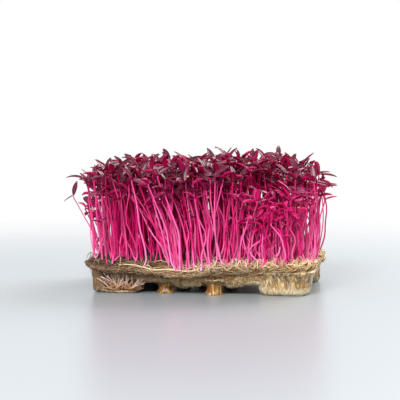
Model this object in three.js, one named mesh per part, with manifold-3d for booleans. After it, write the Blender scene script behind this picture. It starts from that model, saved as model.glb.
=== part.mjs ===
// A block of red amaranth microgreens, lifted out of the tray it was grown in.
// Millimetres, +Z up. The block's long side runs along X and its front is at -Y. The origin is on the resting
// surface, in the middle of the round foot under the block's centre.
import * as THREE from "three";
import { mergeVertices } from "three/addons/utils/BufferGeometryUtils.js";
import Module from "manifold-3d";

const wasm = await Module();
wasm.setup();

// Driving dimensions of the block
const RIM_HALF_X = 63.5;
const RIM_HALF_Y = 45;
const RIM_CORNER = 18;
const RIM_POINTS = 40;
const PAD_TOP_Z = 18.6;
const PAD_RIM_Z = 15.7;
const PAD_BOTTOM_Z = 8.9;
const ROOT_TOP_Z = 8.6;
const UNDERSIDE_Z = 5.9;
const EDGE_FALL = 1.9;
const GAP = 0.35;

// The front edge sags here, and less far along its left half
const DIP_X = -8;
const DIP_WIDTH = 18;
const DIP_DEPTH = 5.6;
const DIP_LEFT_SHARE = 0.42;
const DIP_START_Y = -16;
const DIP_REACH = 28;

// Seedlings
const SEED = 7087;
const COLUMNS = 7;
const ROWS = 4;
const COLUMN_PITCH = 17.8;
const ROW_PITCH = 22.4;
const CORNER_PULL = 0.94;
const FRONT_SETBACK = 4;
const SETBACK_COLUMNS = 3;
const RING_STEMS = 4;
const RING_RADIUS = 4.7;
const CROWN_RADIUS = 6.2;
const CROWN_SIDES = 6;
const CROWN_THICKNESS = 2.2;
const CROWN_TAPER = 0.8;
const CROWN_DEPTH = 0.7;
const POCKET_FLARE = 3;
const POCKET_HEIGHT = 12;
const STEM_RADIUS = 0.65;
const STEM_PARTS = 3;
const STEM_GAP = 1.6;
const CANOPY_Z = 64.5;
const LEFT_END_DROP = 9;
const RIGHT_END_DROP = 5;
const LOW_STAND = { x: 38, width: 17, drop: 20 };
const LEAN = { x: -1.6, perX: 0.035, perY: 0.03, rightEnd: -2.2 };
const FANS = [
  { x: 24, width: 14, lean: 3.5 },
  { x: -14, width: 17, lean: -6.5 },
];
const LEAF_LENGTH = 11;
const LEAF_HALF_WIDTH = 1.65;
const LEAF_KEEL = 0.7;
const HUB_KEEL = 1.2;
const TRIES = 40;
const GOES = 6;

// Least distances between the middle lines of pieces that belong to different nodes
const LEAF_TO_LEAF = 1.15;
const LEAF_TO_STEM = 1.4;
const STEM_TO_STEM = 1.65;

const UP = new THREE.Vector3(0, 0, 1);
const RADIANS = Math.PI / 180;

// A repeatable stream of numbers from 0 to 1.
function randomStream(seed) {
  let state = seed >>> 0;
  return () => {
    state = (Math.imul(state, 1664525) + 1013904223) >>> 0;
    return state / 4294967296;
  };
}

const between = (random, low, high) => low + (high - low) * random();
const clamp01 = (value) => Math.min(1, Math.max(0, value));
const bell = (value, width) => Math.exp(-((value / width) ** 2));

// Solids and booleans

function solidOf(geometry) {
  const bare = geometry.index ? geometry.toNonIndexed() : geometry.clone();
  bare.deleteAttribute("normal");
  bare.deleteAttribute("uv");
  const merged = mergeVertices(bare, 1e-4);
  const faces = [];
  const index = merged.index.array;
  for (let i = 0; i < index.length; i += 3) {
    const [a, b, c] = [index[i], index[i + 1], index[i + 2]];
    if (a !== b && b !== c && c !== a) faces.push(a, b, c);
  }
  return new wasm.Manifold(
    new wasm.Mesh({
      numProp: 3,
      vertProperties: merged.attributes.position.array,
      triVerts: new Uint32Array(faces),
    }),
  );
}

function geometryOf(solid) {
  const mesh = solid.getMesh();
  const positions = new Float32Array(mesh.numVert * 3);
  for (let i = 0; i < mesh.numVert; i++) {
    const start = i * mesh.numProp;
    positions.set(mesh.vertProperties.subarray(start, start + 3), i * 3);
  }
  const geometry = new THREE.BufferGeometry();
  geometry.setAttribute("position", new THREE.BufferAttribute(positions, 3));
  geometry.setIndex(new THREE.BufferAttribute(mesh.triVerts, 1));
  geometry.computeVertexNormals();
  return geometry;
}

const join = (solids) => solids.reduce((all, one) => all.add(one));

// The biggest body of a solid, without any scrap that a cut has left loose.
function wholeBody(solid) {
  const bodies = solid.decompose();
  return bodies.reduce((best, one) => (one.volume() > best.volume() ? one : best));
}

// A closed skin over rings of the same number of points, each ring counter-clockwise seen from the last ring.
function skinOver(rings) {
  const count = rings[0].length;
  const last = (rings.length - 1) * count;
  const index = [];
  for (let start = 0; start < last; start += count)
    for (let i = 0; i < count; i++) {
      const a = start + i;
      const b = start + ((i + 1) % count);
      index.push(a, b, b + count, a, b + count, a + count);
    }
  for (let i = 1; i + 1 < count; i++) {
    index.push(0, i + 1, i);
    index.push(last, last + i, last + i + 1);
  }
  const positions = rings.flat().flatMap((point) => [point.x, point.y, point.z]);
  const geometry = new THREE.BufferGeometry();
  geometry.setAttribute("position", new THREE.Float32BufferAttribute(positions, 3));
  geometry.setIndex(index);
  return solidOf(geometry);
}

// Shapes of the pad and the root mat

// Points evenly spaced round a rectangle with round corners, counter-clockwise from the middle of its right side.
function roundedRectangle(halfX, halfY, corner, count) {
  const path = new THREE.Path();
  const x = halfX - corner;
  const y = halfY - corner;
  path.moveTo(halfX, 0);
  path.lineTo(halfX, y);
  path.absarc(x, y, corner, 0, Math.PI / 2);
  path.absarc(-x, y, corner, Math.PI / 2, Math.PI);
  path.absarc(-x, -y, corner, Math.PI, 1.5 * Math.PI);
  path.absarc(x, -y, corner, 1.5 * Math.PI, 2 * Math.PI);
  path.lineTo(halfX, 0);
  return path.getSpacedPoints(count).slice(0, count);
}

// How far the ragged edge stands out or in, at a share of the way round.
function edgeWave(share) {
  const turn = 2 * Math.PI * share;
  return 0.55 * Math.sin(5 * turn + 1) + 0.45 * Math.sin(9 * turn + 2.2) + 0.3 * Math.sin(16 * turn + 0.4);
}

function frontDip(x, y) {
  const middle = bell(x - DIP_X, DIP_WIDTH);
  const left = DIP_LEFT_SHARE * clamp01((DIP_X - x) / 15);
  return (middle + left * (1 - middle)) * clamp01((DIP_START_Y - y) / DIP_REACH) ** 2;
}

// The pad's top is hummocky, falls a little towards its edge, and follows the sag.
function padTopZ(x, y) {
  const hummocks = 0.5 * Math.sin(x / 8 + 1) * Math.cos(y / 6.5) + 0.3 * Math.sin(x / 4.1 + y / 5.3);
  const outward = Math.sqrt(Math.hypot((x / RIM_HALF_X) ** 2, (y / RIM_HALF_Y) ** 2));
  const edge = clamp01((outward - 0.75) / 0.25);
  return PAD_TOP_Z + hummocks - EDGE_FALL * edge - DIP_DEPTH * frontDip(x, y);
}

// One ring of the pad or the root mat: the rim's outline drawn in by inset, waved, at height z.
function blockRing(inset, z, wave) {
  const outline = roundedRectangle(RIM_HALF_X - inset, RIM_HALF_Y - inset, RIM_CORNER - inset / 3, RIM_POINTS);
  return outline.map((point, i) => {
    const grow = 1 + (wave * edgeWave(i / RIM_POINTS)) / RIM_HALF_X;
    return new THREE.Vector3(point.x * grow, point.y * grow, z);
  });
}

// The fibre pad flares out to a rim, and its top is a hummocky fan of rings round the middle.
function padSolid() {
  const sides = [
    { inset: 4.8, z: PAD_BOTTOM_Z },
    { inset: 4.3, z: 11.2 },
    { inset: 1.2, z: 14.2 },
    { inset: 0, z: PAD_RIM_Z },
  ];
  const rings = sides.map(({ inset, z }) => blockRing(inset, z, 1));
  for (const ring of rings)
    for (const point of ring) {
      const share = (point.z - PAD_BOTTOM_Z) / (PAD_RIM_Z - PAD_BOTTOM_Z);
      point.z -= share * DIP_DEPTH * frontDip(point.x, point.y);
    }
  const rim = rings[rings.length - 1];
  for (const shrink of [0.965, 0.82, 0.6, 0.33, 0])
    rings.push(
      rim.map(({ x, y }) => new THREE.Vector3(x * shrink, y * shrink, padTopZ(x * shrink, y * shrink))),
    );
  return skinOver(rings);
}

// A foot or post: rounded rectangles stacked from the floor up, each grown by its own amount.
function footSolid({ x, y, halfX, halfY, corner, stack, points }) {
  return skinOver(
    stack.map(({ z, grow }) =>
      roundedRectangle(halfX + grow, halfY + grow, corner + grow, points).map(
        (point) => new THREE.Vector3(point.x + x, point.y + y, z),
      ),
    ),
  );
}

const CORNER_STACK = [
  { z: 0, grow: -2 },
  { z: 1.2, grow: -0.3 },
  { z: 4.5, grow: 0 },
  { z: 6.6, grow: -0.9 },
  { z: 8.3, grow: -1.2 },
];
const POST_STACK = [
  { z: 0, grow: 1 },
  { z: 1, grow: 0.4 },
  { z: 3, grow: -0.3 },
  { z: 7.5, grow: 0.4 },
];

// Where the left and right feet begin and end
const LEFT_FOOT = { innerX: -31.6, outerX: -57.4 };
const RIGHT_FOOT = { innerX: 32.8, outerX: 59.8 };
const FOOT_OUTER_Y = 39.8;
const FOOT_INNER_Y = 17;
const CORNER_FOOT_ROUNDING = 8;
const POST_HALF = 3.4;
const CENTRE_POST_HALF = 5;
const POSTS = [
  { x: -18.6, y: -32 },
  { x: 8.3, y: -36 },
  { x: -18.6, y: 32 },
  { x: 8.3, y: 35 },
  { x: -45, y: 0 },
  { x: 46, y: 0 },
];
const BULGES = [
  { x: -9.5, y: -31, size: 6.5, z: 5.2 },
  { x: 17.5, y: -30, size: 6.5, z: 5.4 },
  { x: -9.5, y: 31, size: 6, z: 5.2 },
  { x: 17.5, y: 30, size: 6, z: 5.4 },
];
const BULGE_DEPTH = 0.72;
const BULGE_DROP = 0.46;

function cornerFoot(side, end) {
  const { innerX, outerX } = side < 0 ? LEFT_FOOT : RIGHT_FOOT;
  return footSolid({
    x: (innerX + outerX) / 2,
    y: (end * (FOOT_INNER_Y + FOOT_OUTER_Y)) / 2,
    halfX: Math.abs(outerX - innerX) / 2,
    halfY: (FOOT_OUTER_Y - FOOT_INNER_Y) / 2,
    corner: CORNER_FOOT_ROUNDING,
    stack: CORNER_STACK,
    points: 16,
  });
}

const postSolid = (x, y, half) =>
  footSolid({ x, y, halfX: half, halfY: half, corner: half * 0.7, stack: POST_STACK, points: 8 });

function bulgeSolid({ x, y, size, z }) {
  const ball = new THREE.SphereGeometry(size, 8, 5);
  ball.scale(1, 1, BULGE_DEPTH);
  ball.rotateX(Math.PI / 2);
  ball.scale(1, 1, BULGE_DROP);
  ball.translate(x, y, z);
  return solidOf(ball);
}

// The notch at the front of the left foot and of the pad over it, where the tuft of shoots stands on a ledge.
const RECESS = { x: -41.5, width: 20, depth: 5, bottom: 1.4, top: 11.6 };

function recessSolid() {
  const box = new THREE.BoxGeometry(RECESS.width, RECESS.depth * 2, RECESS.top - RECESS.bottom);
  box.translate(RECESS.x, -FOOT_OUTER_Y, (RECESS.top + RECESS.bottom) / 2);
  return solidOf(box);
}

function rootMatSolid() {
  const body = skinOver([
    blockRing(7.8, UNDERSIDE_Z, 0.6),
    blockRing(5.6, 7, 0.8),
    blockRing(5, ROOT_TOP_Z, 1),
  ]);
  const feet = [-1, 1].flatMap((side) => [-1, 1].map((end) => cornerFoot(side, end)));
  const posts = POSTS.map(({ x, y }) => postSolid(x, y, POST_HALF));
  const centre = postSolid(0, 0, CENTRE_POST_HALF);
  return join([body, ...feet, ...posts, centre, ...BULGES.map(bulgeSolid)]).subtract(recessSolid());
}

// Layout of the seedlings

// Closest distance between two straight segments.
function segmentDistance(first, second) {
  const [p, pEnd] = first;
  const [q, qEnd] = second;
  const u = pEnd.clone().sub(p);
  const v = qEnd.clone().sub(q);
  const w = p.clone().sub(q);
  const a = u.dot(u);
  const e = v.dot(v);
  const b = u.dot(v);
  const c = u.dot(w);
  const f = v.dot(w);
  const spread = a * e - b * b;
  let s = spread > 1e-9 ? clamp01((b * f - c * e) / spread) : 0;
  let t = (b * s + f) / e;
  if (t < 0) {
    t = 0;
    s = clamp01(-c / a);
  } else if (t > 1) {
    t = 1;
    s = clamp01((b - c) / a);
  }
  return w.addScaledVector(u, s).addScaledVector(v, -t).length();
}

const segmentsOf = (points) => points.slice(1).map((point, i) => [points[i], point]);

function boxOf(segments) {
  return new THREE.Box3().setFromPoints(segments.flat());
}

function clearOf(piece, others, least) {
  const reach = piece.box.clone().expandByScalar(least);
  return others.every(
    (other) =>
      !reach.intersectsBox(other.box) ||
      piece.segments.every((mine) => other.segments.every((theirs) => segmentDistance(mine, theirs) >= least)),
  );
}

// How far a stem's top leans from its foot: mostly to the left, and fanning apart in places along the front.
function leanAt(x, y) {
  const front = clamp01((-y - 12) / 24);
  const fan = FANS.reduce((sum, one) => sum + one.lean * bell(x - one.x, one.width), 0);
  const end = LEAN.rightEnd * clamp01((x - 40) / 20);
  return { x: LEAN.x + LEAN.perX * x + end + fan * front, y: LEAN.perY * y };
}

// Height of the leaves' hubs over the block: lower at the left end, and a low stand at the front right.
function canopyAt(x, y) {
  const leftEnd = clamp01((-x - 34) / 26);
  const rightEnd = clamp01((x - 40) / 22);
  const lowStand = bell(x - LOW_STAND.x, LOW_STAND.width) * clamp01((-y - 20) / 10);
  const ends = LEFT_END_DROP * leftEnd + RIGHT_END_DROP * rightEnd;
  return CANOPY_Z + 1.5 * Math.sin(x / 11) - ends - LOW_STAND.drop * lowStand;
}

// A stem's middle line, from its foot in the crown to its top just under the hub.
function makeStem(foot, apex, bowX, bowY) {
  const top = new THREE.Vector3(apex.x, apex.y, apex.z - STEM_GAP);
  const points = [];
  for (let k = 0; k <= STEM_PARTS; k++) {
    const share = k / STEM_PARTS;
    const ease = share * (0.65 + 0.35 * share);
    const bow = Math.sin(Math.PI * share);
    points.push(
      new THREE.Vector3(
        foot.x + (top.x - foot.x) * ease + bowX * bow,
        foot.y + (top.y - foot.y) * ease + bowY * bow,
        foot.z + (top.z - foot.z) * share,
      ),
    );
  }
  const segments = segmentsOf(points);
  return { points, segments, box: boxOf(segments) };
}

// One leaf's middle line from the hub: three straight parts, each bent down further than the last.
function leafLine(hub, heading, rise, droop, length) {
  const points = [hub];
  for (const [part, share] of [0.35, 0.35, 0.3].entries()) {
    const angle = rise - droop * part;
    const step = share * length;
    const from = points[part];
    points.push(
      new THREE.Vector3(
        from.x + step * Math.cos(angle) * Math.cos(heading),
        from.y + step * Math.cos(angle) * Math.sin(heading),
        from.z + step * Math.sin(angle),
      ),
    );
  }
  return { points, heading };
}

// Middle line and both edges of a leaf, for measuring distances.
function leafSegments({ points, heading }, halfWidth) {
  const side = new THREE.Vector3(-Math.sin(heading), Math.cos(heading), 0);
  return [-1, 0, 1].flatMap((edge) =>
    segmentsOf(
      points.map((point, i) => point.clone().addScaledVector(side, i === 1 || i === 2 ? edge * halfWidth : 0)),
    ),
  );
}

function makePair(hub, near, far, halfWidth) {
  const segments = [...leafSegments(near, halfWidth), ...leafSegments(far, halfWidth)];
  return { hub, near, far, halfWidth, segments, box: boxOf(segments) };
}

// A pair whose near leaf passes through the next hub, or heads freely where there is no next one.
function drawPair(random, hub, next, shrink) {
  let length = shrink * LEAF_LENGTH * between(random, 0.88, 1.12);
  const halfWidth = LEAF_HALF_WIDTH * between(random, 0.88, 1.08);
  const droop = between(random, 6, 16) * RADIANS;
  let heading = between(random, 0, 2 * Math.PI);
  let rise = between(random, 0, 35) * RADIANS;
  if (next) {
    const flat = Math.hypot(next.x - hub.x, next.y - hub.y);
    const reach = Math.hypot(flat, next.z - hub.z);
    length = Math.max(length, 1.2 * reach);
    heading = Math.atan2(next.y - hub.y, next.x - hub.x);
    const bends = [0.35, 0.7].map((share) => Math.max(0, reach - share * length));
    rise = Math.atan2(next.z - hub.z, flat) + (droop * (bends[0] + bends[1])) / reach;
  }
  const farHeading = heading + Math.PI + between(random, -25, 25) * RADIANS;
  const farRise = between(random, -5, 60) * RADIANS;
  const farLength = length * between(random, 0.85, 1.05);
  const near = leafLine(hub, heading, rise, droop, length);
  const far = leafLine(hub, farHeading, farRise, droop, farLength);
  return makePair(hub, near, far, halfWidth);
}

// Centre of each clump on the pad, front row first. Along the left of the front they stand further back.
function clumpCentres() {
  const centres = [];
  for (let row = 0; row < ROWS; row++)
    for (let column = 0; column < COLUMNS; column++) {
      const isCorner = (row === 0 || row === ROWS - 1) && (column === 0 || column === COLUMNS - 1);
      const pull = isCorner ? CORNER_PULL : 1;
      const setback = row === 0 && column < SETBACK_COLUMNS ? FRONT_SETBACK : 0;
      centres.push({
        x: pull * (column - (COLUMNS - 1) / 2) * COLUMN_PITCH,
        y: pull * (row - (ROWS - 1) / 2) * ROW_PITCH + setback,
      });
    }
  return centres;
}

// Top of a clump's crown, below the lowest spot of the pad round it.
function crownTopZ({ x, y }) {
  const rim = CROWN_RADIUS;
  const spots = [[0, 0], [rim, 0], [-rim, 0], [0, rim], [0, -rim]];
  return Math.min(...spots.map(([dx, dy]) => padTopZ(x + dx, y + dy))) - CROWN_DEPTH;
}

function stemFeet(random, centre, z) {
  const start = between(random, 0, 2 * Math.PI);
  const feet = [];
  for (let i = 0; i <= RING_STEMS; i++) {
    const angle = start + (2 * Math.PI * i) / RING_STEMS;
    const radius = i < RING_STEMS ? RING_RADIUS : 0;
    feet.push(new THREE.Vector3(centre.x + radius * Math.cos(angle), centre.y + radius * Math.sin(angle), z));
  }
  return feet;
}

// Where the next hub goes: over its foot, leant and scattered, and not far above or below the hub before it.
function drawApex(random, foot, centre, before, level) {
  const lean = leanAt(centre.x, centre.y);
  const spread = 1.12;
  const z = before ? before.z + between(random, -2.6, 2.6) : level + between(random, -2, 2);
  return new THREE.Vector3(
    centre.x + (foot.x - centre.x) * spread + lean.x + between(random, -1.5, 1.5),
    centre.y + (foot.y - centre.y) * spread + lean.y + between(random, -1.5, 1.5),
    Math.min(level + 6, Math.max(level - 6, z)),
  );
}

// One clump: seedlings in a chain, where each one's near leaf lies through the next one's hub. A seedling that
// finds no place clear of the clumps laid before it is left out.
function growClump(random, centre, others) {
  const crownTop = crownTopZ(centre);
  const level = canopyAt(centre.x, centre.y) + between(random, -7, 4);
  const feet = stemFeet(random, centre, crownTop - 1);
  const clump = { centre, crownTop, stems: [], pairs: [] };
  let before = null;
  for (const foot of feet)
    for (let attempt = 0; attempt < TRIES; attempt++) {
      const apex = drawApex(random, foot, centre, before, level);
      const stem = makeStem(foot, apex, between(random, -2.2, 2.2), between(random, -2.2, 2.2));
      if (!stemClear(stem, clump, others)) continue;
      clump.stems.push(stem);
      const pair = before ? drawPair(random, before, apex, 1) : null;
      if (pair && !pairClear(pair, clump, others, 2)) {
        clump.stems.pop();
        continue;
      }
      if (pair) clump.pairs.push(pair);
      before = apex;
      break;
    }
  const last = before ? lastPair(random, before, clump, others) : null;
  if (last) clump.pairs.push(last);
  else clump.stems.pop();
  return clump;
}

// The fullest of several goes at a clump.
function layClump(number, centre, clumps) {
  const random = randomStream(SEED + 7919 * number);
  const others = { stems: clumps.flatMap((other) => other.stems), pairs: clumps.flatMap((other) => other.pairs) };
  let best = null;
  for (let go = 0; go < GOES; go++) {
    const clump = growClump(random, centre, others);
    if (!best || clump.pairs.length > best.pairs.length) best = clump;
    if (best.pairs.length > RING_STEMS) break;
  }
  return best;
}

function stemClear(stem, clump, others) {
  const pairs = [...clump.pairs, ...others.pairs];
  return clearOf(stem, others.stems, STEM_TO_STEM) && clearOf(stem, pairs, LEAF_TO_STEM);
}

// A pair keeps clear of everything but the last few stems, its own and the next one's, and the pair before it,
// whose near leaf carries its hub.
function pairClear(pair, clump, others, nearStems) {
  return (
    clearOf(pair, [...clump.stems.slice(0, -nearStems), ...others.stems], LEAF_TO_STEM) &&
    clearOf(pair, [...clump.pairs.slice(0, -1), ...others.pairs], LEAF_TO_LEAF)
  );
}

// The last hub's leaves head where there is room, and are smaller where there is little.
function lastPair(random, hub, clump, others) {
  for (let attempt = 0; attempt < TRIES; attempt++) {
    const pair = drawPair(random, hub, null, 1 - (0.5 * attempt) / TRIES);
    if (pairClear(pair, clump, others, 1)) return pair;
  }
  return null;
}

function layClumps() {
  const clumps = [];
  clumpCentres().forEach((centre, number) => clumps.push(layClump(number, centre, clumps)));
  return clumps;
}

// Solids of the seedlings

function crownSolid({ centre, crownTop }) {
  const disc = new THREE.CylinderGeometry(CROWN_RADIUS, CROWN_RADIUS - CROWN_TAPER, CROWN_THICKNESS, CROWN_SIDES);
  disc.rotateX(Math.PI / 2);
  disc.translate(centre.x, centre.y, crownTop - CROWN_THICKNESS / 2);
  return solidOf(disc);
}

// The plain pocket in the pad that a crown stands in, a little wider upwards.
function pocketSolid({ centre, crownTop }) {
  const radius = CROWN_RADIUS + GAP;
  const depth = CROWN_THICKNESS + GAP;
  const hole = new THREE.CylinderGeometry(radius + POCKET_FLARE, radius, POCKET_HEIGHT, CROWN_SIDES);
  hole.rotateX(Math.PI / 2);
  hole.translate(centre.x, centre.y, crownTop - depth + POCKET_HEIGHT / 2);
  return solidOf(hole);
}

function stemSolid({ points }) {
  return skinOver(
    points.map((point) =>
      [90, 210, 330].map(
        (turn) =>
          new THREE.Vector3(
            point.x + STEM_RADIUS * Math.cos(turn * RADIANS),
            point.y + STEM_RADIUS * Math.sin(turn * RADIANS),
            point.z,
          ),
      ),
    ),
  );
}

// The cross-section of a leaf: a flat upper face and a keel under its middle.
function leafSection(point, side, normal, halfWidth, rise, keel) {
  const edge = point.clone().addScaledVector(normal, rise);
  return [
    edge.clone().addScaledVector(side, halfWidth),
    edge.clone().addScaledVector(side, -halfWidth),
    point.clone().addScaledVector(normal, -keel),
  ];
}

// Sections of one leaf from its tip towards the hub, seen along the given sense of travel.
function leafSections({ points, heading }, halfWidth, sense) {
  const side = new THREE.Vector3(-Math.sin(heading), Math.cos(heading), 0).multiplyScalar(sense);
  const section = (i, width) => {
    const along = points[i + 1].clone().sub(points[i - 1]).normalize();
    const normal = along.cross(new THREE.Vector3(-Math.sin(heading), Math.cos(heading), 0)).normalize();
    return leafSection(points[i], side, normal, width, 0, LEAF_KEEL);
  };
  const tip = [points[3], points[3], points[3]];
  return [tip, section(2, halfWidth), section(1, halfWidth * 0.86)];
}

// A pair of leaves as one skin: from the far leaf's tip, through the hub, to the near leaf's tip.
function pairSolid({ hub, near, far, halfWidth }) {
  const side = new THREE.Vector3(-Math.sin(near.heading), Math.cos(near.heading), 0);
  const middle = leafSection(hub, side, UP, 0.55, 0.35, HUB_KEEL);
  return skinOver([
    ...leafSections(far, halfWidth, -1),
    middle,
    ...leafSections(near, halfWidth, 1).reverse(),
  ]);
}

// The seedling that leans far out at the left end. Its two leaves are one solid with its stem.
const STRAY = { clump: 7, footX: -3.2, bowX: -1, x: -74.6, y: -9, z: 51, turn: 20, droop: 6, halfWidth: 1.4 };
const STRAY_LEAVES = { upper: { rise: 80, length: 8 }, lower: { rise: -28, length: 6.5 } };

function straySolid({ centre, crownTop }) {
  const hub = new THREE.Vector3(STRAY.x, STRAY.y, STRAY.z);
  const foot = new THREE.Vector3(centre.x + STRAY.footX, centre.y, crownTop - 1);
  const stem = makeStem(foot, hub.clone().addScaledVector(UP, STEM_GAP), STRAY.bowX, 0);
  const heading = STRAY.turn * RADIANS;
  const droop = STRAY.droop * RADIANS;
  const { upper, lower } = STRAY_LEAVES;
  const near = leafLine(hub, heading, upper.rise * RADIANS, droop, upper.length);
  const far = leafLine(hub, heading + Math.PI, lower.rise * RADIANS, droop, lower.length);
  return join([stemSolid(stem), pairSolid(makePair(hub, near, far, STRAY.halfWidth))]);
}

// Loose roots

// A tapering shoot through the given points, with three sides and a pointed end.
function shootSolid(points, radius) {
  const rings = points.map((point, i) => {
    const share = 1 - i / (points.length - 1);
    const along = points[Math.min(i + 1, points.length - 1)].clone().sub(points[Math.max(i - 1, 0)]).normalize();
    const across = new THREE.Vector3(0, 1, 0).cross(along).normalize();
    const over = along.clone().cross(across);
    return [0, 120, 240].map((turn) =>
      point
        .clone()
        .addScaledVector(across, radius * share * Math.cos(turn * RADIANS))
        .addScaledVector(over, radius * share * Math.sin(turn * RADIANS)),
    );
  });
  return skinOver(rings);
}

const TUFT = { x: -42, y: -37.2, z: 2.3, halfX: 6.6, halfY: 1.5, halfZ: 0.55, shoots: 11, length: 8.2, radius: 0.55 };

// A tuft of stiff shoots, fanning up from a flat knot on the ledge of the left foot.
function tuftSolid() {
  const random = randomStream(SEED);
  const knot = new THREE.SphereGeometry(1, 8, 4);
  knot.scale(TUFT.halfX, TUFT.halfY, TUFT.halfZ);
  knot.translate(TUFT.x, TUFT.y, TUFT.z);
  const shoots = [];
  for (let i = 0; i < TUFT.shoots; i++) {
    const share = (i + 0.5) / TUFT.shoots - 0.5;
    const angle = (90 - 80 * share + between(random, -12, 12)) * RADIANS;
    const length = TUFT.length * between(random, 0.6, 1);
    const from = new THREE.Vector3(TUFT.x + 1.4 * TUFT.halfX * share, TUFT.y, TUFT.z - 0.1);
    const forward = between(random, -0.5, 0.1);
    const points = [0, 0.5, 1].map(
      (part) =>
        new THREE.Vector3(
          from.x + part * length * Math.cos(angle),
          from.y + part * forward,
          from.z + part * length * Math.sin(angle),
        ),
    );
    shoots.push(shootSolid(points, TUFT.radius));
  }
  return join([solidOf(knot), ...shoots]);
}

const EDGE_ROOT = { fromX: -43, toX: 11, inset: 2.6, radius: 0.5, lift: 1.35, parts: 14 };

// The long root that lies along the front edge of the pad, across the sag.
function edgeRootSolid() {
  const y = -(RIM_HALF_Y - EDGE_ROOT.inset);
  const points = [];
  for (let i = 0; i <= EDGE_ROOT.parts; i++) {
    const x = EDGE_ROOT.fromX + ((EDGE_ROOT.toX - EDGE_ROOT.fromX) * i) / EDGE_ROOT.parts;
    const wander = 0.5 * Math.sin(x / 3.1);
    points.push(new THREE.Vector3(x, y + wander, padTopZ(x, y + wander) + EDGE_ROOT.lift));
  }
  const rings = points.map((point) =>
    [90, 210, 330].map(
      (turn) =>
        new THREE.Vector3(
          point.x,
          point.y + EDGE_ROOT.radius * Math.cos(turn * RADIANS),
          point.z + EDGE_ROOT.radius * Math.sin(turn * RADIANS),
        ),
    ),
  );
  return skinOver(rings);
}

// The scene graph

const materials = {
  pad: new THREE.MeshStandardMaterial({ name: "pad_fibre", color: 0x6b5a3e, roughness: 0.95, metalness: 0 }),
  roots: new THREE.MeshStandardMaterial({ name: "root_flesh", color: 0xc2ad86, roughness: 0.55, metalness: 0 }),
  stem: new THREE.MeshStandardMaterial({ name: "stem_pink", color: 0xe23a8c, roughness: 0.45, metalness: 0 }),
  leaf: new THREE.MeshStandardMaterial({ name: "leaf_wine", color: 0x6e0f38, roughness: 0.5, metalness: 0 }),
};

function meshOf(name, solid, material) {
  const mesh = new THREE.Mesh(geometryOf(solid), material);
  mesh.name = name;
  return mesh;
}

const clumps = layClumps();
const block = new THREE.Group();
const pad = wholeBody(padSolid().subtract(join([recessSolid(), ...clumps.map(pocketSolid)])));
block.add(meshOf("growing_pad", pad, materials.pad));
block.add(meshOf("root_mat", rootMatSolid(), materials.roots));
block.add(meshOf("root_tuft", tuftSolid(), materials.roots));
block.add(meshOf("edge_root", edgeRootSolid(), materials.roots));
clumps.forEach((clump, number) => {
  const label = String(number + 1).padStart(2, "0");
  const strays = number === STRAY.clump ? [straySolid(clump)] : [];
  const stems = join([crownSolid(clump), ...clump.stems.map(stemSolid), ...strays]);
  block.add(meshOf("stems_" + label, stems, materials.stem));
  block.add(meshOf("leaves_" + label, join(clump.pairs.map(pairSolid)), materials.leaf));
});

export default block;
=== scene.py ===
import math

import bpy
import numpy as np
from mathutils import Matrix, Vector
from mathutils.bvhtree import BVHTree


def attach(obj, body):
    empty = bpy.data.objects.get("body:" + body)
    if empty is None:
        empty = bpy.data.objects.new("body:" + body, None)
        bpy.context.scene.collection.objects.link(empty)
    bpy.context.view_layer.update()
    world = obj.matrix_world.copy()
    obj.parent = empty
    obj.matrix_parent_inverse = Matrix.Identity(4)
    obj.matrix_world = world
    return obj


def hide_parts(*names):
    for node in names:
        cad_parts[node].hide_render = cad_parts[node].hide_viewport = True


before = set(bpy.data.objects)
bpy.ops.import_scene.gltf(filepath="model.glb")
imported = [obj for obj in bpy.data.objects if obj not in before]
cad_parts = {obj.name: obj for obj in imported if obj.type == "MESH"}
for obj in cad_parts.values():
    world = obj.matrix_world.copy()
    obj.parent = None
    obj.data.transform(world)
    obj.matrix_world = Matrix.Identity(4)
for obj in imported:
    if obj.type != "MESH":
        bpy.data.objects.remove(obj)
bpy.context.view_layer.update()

# Lengths are in millimetres up to add_piece(), which makes them metres.
MM = 0.001

# Driving dimensions of the block, as in its solids
RIM_HALF_X = 63.5
RIM_HALF_Y = 45
RIM_CORNER = 18
PAD_TOP_Z = 18.6
PAD_RIM_Z = 15.7
PAD_BOTTOM_Z = 8.9
EDGE_FALL = 1.9
DIP_X = -8
DIP_WIDTH = 18
DIP_DEPTH = 5.6
DIP_LEFT_SHARE = 0.42
DIP_LEFT_REACH = 15
DIP_START_Y = -16
DIP_REACH = 28

SEED = 7087
COLUMNS = 7
ROWS = 4
COLUMN_PITCH = 17.8
ROW_PITCH = 22.4
CORNER_PULL = 0.94
FRONT_SETBACK = 4
SETBACK_COLUMNS = 3
RING_STEMS = 4
RING_RADIUS = 4.7
CROWN_RADIUS = 6.2
CROWN_DEPTH = 0.7
STEM_PARTS = 3
STEM_GAP = 1.6
CANOPY_Z = 64.5
LEFT_END = {"x": -34, "reach": 26, "drop": 9}
RIGHT_END = {"x": 40, "reach": 22, "drop": 5}
LOW_STAND = {"x": 38, "width": 17, "drop": 20, "y": -20, "reach": 10}
LEAN = {"x": -1.6, "per_x": 0.035, "per_y": 0.03, "right_end": -2.2, "end_x": 40, "end_reach": 20}
FANS = [(24, 14, 3.5), (-14, 17, -6.5)]
FAN_START_Y = -12
FAN_REACH = 24
LEAF_LENGTH = 11
LEAF_HALF_WIDTH = 1.65
TRIES = 40
GOES = 6
LEAF_TO_LEAF = 1.15
LEAF_TO_STEM = 1.4
STEM_TO_STEM = 1.65
LEAF_PARTS = (0.35, 0.35, 0.3)
RADIANS = math.pi / 180

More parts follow.
